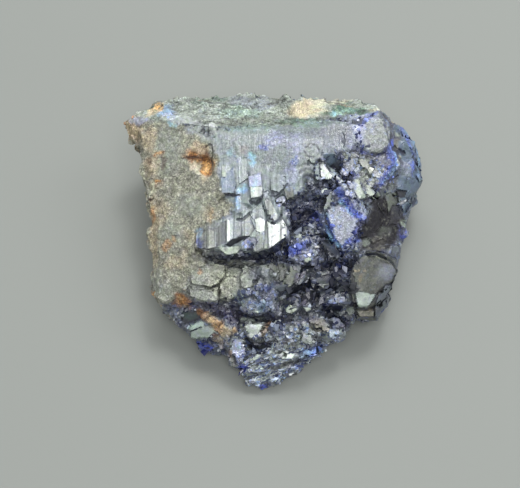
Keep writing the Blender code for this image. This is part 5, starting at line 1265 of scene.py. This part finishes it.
    polish = span(tree, glint, 0.0, 1.0, 0.24, 0.42)
    rough = mixed(tree, calc(tree, "MAXIMUM", earth, shade_and_cracks), polish, 0.80)
    tree.links.new(rough, shader.inputs["Roughness"])
    tree.links.new(span(tree, earth, 0.0, 1.0, 0.5, 0.2), shader.inputs["Specular IOR Level"])
    shader.inputs["IOR"].default_value = AZURITE_IOR
    stretched = add(tree, "ShaderNodeMapping", {"Vector": place, "Scale": LINE_STRETCH}).outputs[0]
    lines = calc(tree, "MULTIPLY", mottle(0.16, 2.0, 0.6, stretched), attribute(tree, "striated"))
    height = calc(tree, "ADD", faces.outputs["Height"], tiny.outputs["Height"])
    height = calc(tree, "MULTIPLY", height, calc(tree, "MULTIPLY", glitter, 0.45))
    height = calc(tree, "MULTIPLY_ADD", lines, LINE_RELIEF, height)
    earth_height = calc(tree, "MULTIPLY_ADD", dust, DUST_RELIEF, calc(tree, "MULTIPLY", fine, GRAIN_RELIEF))
    height = mixed(tree, earth, height, earth_height)
    bump = add(tree, "ShaderNodeBump", {"Height": height, "Strength": 0.8, "Distance": 1.0})
    tree.links.new(bump.outputs[0], shader.inputs["Normal"])


dress_lump(rock_finish)
lump.data.shade_smooth()
lump.data.set_sharp_from_angle(angle=math.radians(24))
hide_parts("azurite_specimen")
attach(lump, "root")


# ---------------------------------------------------------------- the small crystals
# Short glassy azurite crystals that stand all over the broken ground of the specimen, at all angles, in the
# colour of the ground under them. Each one is a little lighter, darker or bluer than the next.
# A few of them are painted near-white as glints: a painted highlight.
CRYSTAL_SIZE = 0.42 * MM
CRYSTAL_SPACING = 0.55 * MM
CRYSTAL_LEAN = 0.8


def standing_crystals():
    """Crystals on a surface, as thick as the named attribute says and as large as its "growth" attribute."""
    tree = bpy.data.node_groups.new("standing_crystals", "GeometryNodeTree")
    tree.interface.new_socket(name="Geometry", in_out="INPUT", socket_type="NodeSocketGeometry")
    tree.interface.new_socket(name="Where", in_out="INPUT", socket_type="NodeSocketString")
    for name in ("Crystal Size", "Stretch", "Spacing", "Lean", "In Line"):
        tree.interface.new_socket(name=name, in_out="INPUT", socket_type="NodeSocketFloat")
    tree.interface.new_socket(name="Line", in_out="INPUT", socket_type="NodeSocketVector")
    tree.interface.new_socket(name="Seed", in_out="INPUT", socket_type="NodeSocketInt")
    tree.interface.new_socket(name="Finish", in_out="INPUT", socket_type="NodeSocketMaterial")
    tree.interface.new_socket(name="Geometry", in_out="OUTPUT", socket_type="NodeSocketGeometry")
    given = tree.nodes.new("NodeGroupInput").outputs
    result = tree.nodes.new("NodeGroupOutput")

    def draw(low, high, seed, kind="FLOAT"):
        first, answer = {"FLOAT_VECTOR": (0, 0), "FLOAT": (2, 1), "INT": (4, 2)}[kind]
        made = add(tree, "FunctionNodeRandomValue", {first: low, first + 1: high}, data_type=kind)
        made.inputs["Seed"].default_value = seed
        return made.outputs[answer]

    grown = add(tree, "GeometryNodeInputNamedAttribute", {"Name": given["Where"]}).outputs["Attribute"]
    growth = add(tree, "GeometryNodeInputNamedAttribute", {"Name": "growth"}).outputs["Attribute"]
    rooms = add(tree, "GeometryNodeDistributePointsOnFaces", {
        "Mesh": given["Geometry"], "Distance Min": given["Spacing"], "Density Max": 8e6,
        "Density Factor": grown,
        "Seed": given["Seed"]}, distribute_method="POISSON")
    shapes = tree.nodes.new("GeometryNodeJoinGeometry")
    for sides, tip, flat, tall in ((6, 0.55, 0.80, 1.0), (4, 0.75, 0.50, 1.1), (5, 0.40, 0.70, 0.8)):
        prism = add(tree, "GeometryNodeMeshCone", {
            "Vertices": sides, "Radius Top": tip, "Radius Bottom": 1.0, "Depth": tall * 1.5})
        placed = add(tree, "GeometryNodeTransform", {
            "Geometry": prism.outputs["Mesh"], "Translation": (0.0, 0.0, -tall * 1.15),
            "Scale": (1.0, flat, 1.0)})
        single = add(tree, "GeometryNodeGeometryToInstance", {"Geometry": placed.outputs[0]})
        tree.links.new(single.outputs[0], shapes.inputs[0])
    stray = add(tree, "ShaderNodeVectorMath", {
        0: draw((-1, -1, -1), (1, 1, 1), 1, "FLOAT_VECTOR"), "Scale": given["Lean"]}, operation="SCALE")
    upright = add(tree, "ShaderNodeVectorMath", {0: rooms.outputs["Normal"], 1: stray.outputs[0]},
                  operation="ADD")
    stand = add(tree, "FunctionNodeAlignRotationToVector", {"Vector": upright.outputs[0]}, axis="Z")
    spin = add(tree, "ShaderNodeCombineXYZ", {2: draw(0.0, math.tau, 2)})
    turned = add(tree, "FunctionNodeRotateRotation", {
        "Rotation": stand.outputs[0], "Rotate By": spin.outputs[0]}, rotation_space="LOCAL")
    astray = add(tree, "ShaderNodeVectorMath", {
        0: draw((-1, -1, -1), (1, 1, 1), 8, "FLOAT_VECTOR"), "Scale": 0.28}, operation="SCALE")
    line = add(tree, "ShaderNodeVectorMath", {0: given["Line"], 1: astray.outputs[0]}, operation="ADD")
    turned = add(tree, "FunctionNodeAlignRotationToVector", {
        "Rotation": turned.outputs[0], "Factor": given["In Line"], "Vector": line.outputs[0]},
        axis="X", pivot_axis="Z")
    size = calc(tree, "MULTIPLY", calc(tree, "MULTIPLY", given["Crystal Size"], growth), draw(0.55, 1.35, 3))
    wide = calc(tree, "MULTIPLY", calc(tree, "MULTIPLY", size, given["Stretch"]), draw(0.6, 1.1, 4))
    tall = calc(tree, "MULTIPLY", size, draw(0.6, 1.3, 5))
    thin = calc(tree, "DIVIDE", size, calc(tree, "POWER", given["Stretch"], 0.5))
    scale = add(tree, "ShaderNodeCombineXYZ", {0: wide, 1: thin, 2: tall})
    placed = add(tree, "GeometryNodeInstanceOnPoints", {
        "Points": rooms.outputs["Points"], "Instance": shapes.outputs[0], "Pick Instance": True,
        "Instance Index": draw(0, 2, 6, "INT"), "Rotation": turned.outputs[0], "Scale": scale.outputs[0]})
    numbered = add(tree, "GeometryNodeStoreNamedAttribute", {
        "Geometry": placed.outputs[0], "Name": "number", "Value": draw(0.0, 1.0, 7)}, domain="INSTANCE")
    real = add(tree, "GeometryNodeRealizeInstances", {0: numbered.outputs[0]})
    finished = add(tree, "GeometryNodeSetMaterial", {"Geometry": real.outputs[0],
                                                     "Material": given["Finish"]})
    tree.links.new(finished.outputs[0], result.inputs[0])
    return tree


CRYSTAL_BLUE = (0.62, 0.82, 1.45, 1)
CRYSTAL_NAVY = (0.25, 0.28, 0.45, 1)
CRYSTAL_PAINTED_GLINT = (1.9, 1.9, 1.8, 1)
BLUE_NUMBER = 0.44  # each crystal carries a number from 0 to 1: those near this one turn bluer
NAVY_NUMBER = 0.10
NUMBER_REACH = 0.5


def crystal_material():
    """Glassy azurite, each crystal in a shade of its own over the colour of the ground that it stands on."""
    material = bpy.data.materials.new("azurite_crystals")
    material.use_nodes = True
    tree = material.node_tree
    shader = tree.nodes["Principled BSDF"]
    place = add(tree, "ShaderNodeTexCoord").outputs["Object"]
    number = attribute(tree, "number")
    earth = attribute(tree, "earthy")
    shade = span(tree, number, 0.0, 1.0, 0.45, 1.65)
    dust = add(tree, "ShaderNodeTexNoise", {"Vector": place, "Scale": 1.0 / (0.22 * MM),
                                            "Detail": 3.0}).outputs[0]
    shade = calc(tree, "MULTIPLY", shade, span(tree, dust, 0.3, 0.7, 0.75, 1.25))
    colour = shaded(tree, attribute(tree, "tint", "Color"), shade)
    glass = calc(tree, "SUBTRACT", 1.0, earth)
    blue = calc(tree, "MULTIPLY", calc(tree, "COMPARE", number, BLUE_NUMBER, NUMBER_REACH), glass)
    colour = blend_colour(tree, calc(tree, "MULTIPLY", blue, 0.4), colour, CRYSTAL_BLUE, "MULTIPLY")
    navy = calc(tree, "MULTIPLY", calc(tree, "COMPARE", number, NAVY_NUMBER, NUMBER_REACH), glass)
    colour = blend_colour(tree, navy, colour, CRYSTAL_NAVY, "MULTIPLY")
    # a few crystals painted near-white: painted glints
    pale = calc(tree, "MULTIPLY", span(tree, number, 0.93, 0.95), glass)
    colour = blend_colour(tree, pale, colour, CRYSTAL_PAINTED_GLINT, "MULTIPLY")
    tree.links.new(colour, shader.inputs["Base Color"])
    rough = mixed(tree, earth, span(tree, number, 0.0, 1.0, 0.18, 0.38), 0.8)
    tree.links.new(rough, shader.inputs["Roughness"])
    shader.inputs["IOR"].default_value = AZURITE_IOR
    bump = add(tree, "ShaderNodeBump", {"Height": calc(tree, "MULTIPLY", dust, 0.04 * MM), "Strength": 0.5,
                                        "Distance": 1.0})
    tree.links.new(bump.outputs[0], shader.inputs["Normal"])
    return material


CRYSTALS_START = (0.95 * MM, 1.4 * MM)  # how far above the table crystals start, so that none reaches it
SLIVERS_START = (1.3 * MM, 1.9 * MM)
earthen = most_of(shown(WEATHERED_SLAB), shown(BACK_BAND), shown(FRONT_BLOCKS), shown(SLAB_CORNER))
bare = most_of(earthen * seen, shown(SHEET), shown(CRYSTAL_ROW), shown(SMOOTH_DOME),
               shown(CORNER_BLOCK, 0.85), shown(WEDGE, 0.8))
sparse = most_of(shown(JUMBLE, 0.7), shown(DARK_SLOPE, 0.85), shown(RIGHT_RIM, 0.85))
free = (1.0 - bare) * (1.0 - sparse) * (1.0 - np.clip(whole * 1.3, 0.0, 1.0))
free *= 1.0 - np.clip(earthy, 0.0, 1.0) * 0.7
free *= ease(points[:, 2], *CRYSTALS_START) * (1.0 - underside)
free *= 1.0 - 0.93 * ease(points[:, 0], *RIGHT_SIDE)
above_table = ease(points[:, 2], *SLIVERS_START)
slivered = lobe_tip * (1.0 - whole) * above_table
bladed = np.maximum(area(across, down, JUMBLE, 6.0), area(across, down, VALLEY, 4.0) * 0.8)
bladed *= seen * (1.0 - whole * 0.7) * above_table
keep(lump.data, "grown", free * (0.35 + 0.65 * ease(patchy_fine, -0.25, 0.1)) * (1.0 - 0.6 * hidden)
     * (1.0 - 0.85 * slivered) * (1.0 - shown(DRUSE_BANK, 0.4)))
keep(lump.data, "slivered", slivered)
keep(lump.data, "bladed", bladed)
keep(lump.data, "growth", 1.0 + 0.5 * patchy - 0.25 * lobe_tip - 0.4 * hidden)
LOBE_GRAIN = Vector((0.95, 0.27, 0.155))  # the way the layers of the front end run
BLADE_GRAIN = Vector((0.64, 0.66, 0.38))  # the way the blades of the broken ground lie
crystal_tree, crystal_finish = standing_crystals(), crystal_material()
for name, values in (
    ("azurite_crystals", {"Where": "grown", "Crystal Size": CRYSTAL_SIZE, "Stretch": 1.0,
                          "Lean": CRYSTAL_LEAN,
                          "Spacing": CRYSTAL_SPACING, "In Line": 0.0, "Line": (1.0, 0.0, 0.0), "Seed": 5}),
    ("azurite_slivers", {"Where": "slivered", "Crystal Size": 0.34 * MM, "Stretch": 3.4, "Lean": 0.22,
                         "Spacing": 0.46 * MM, "In Line": 1.0, "Line": LOBE_GRAIN, "Seed": 6}),
    ("azurite_blades", {"Where": "bladed", "Crystal Size": 0.55 * MM, "Stretch": 2.3, "Lean": 0.6,
                        "Spacing": 1.0 * MM, "In Line": 0.8, "Line": BLADE_GRAIN, "Seed": 7}),
):
    crystals = bpy.data.objects.new(name, lump.data.copy())
    scene.collection.objects.link(crystals)
    work_in(crystals, crystal_tree, values | {"Finish": crystal_finish})
    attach(crystals, "root")
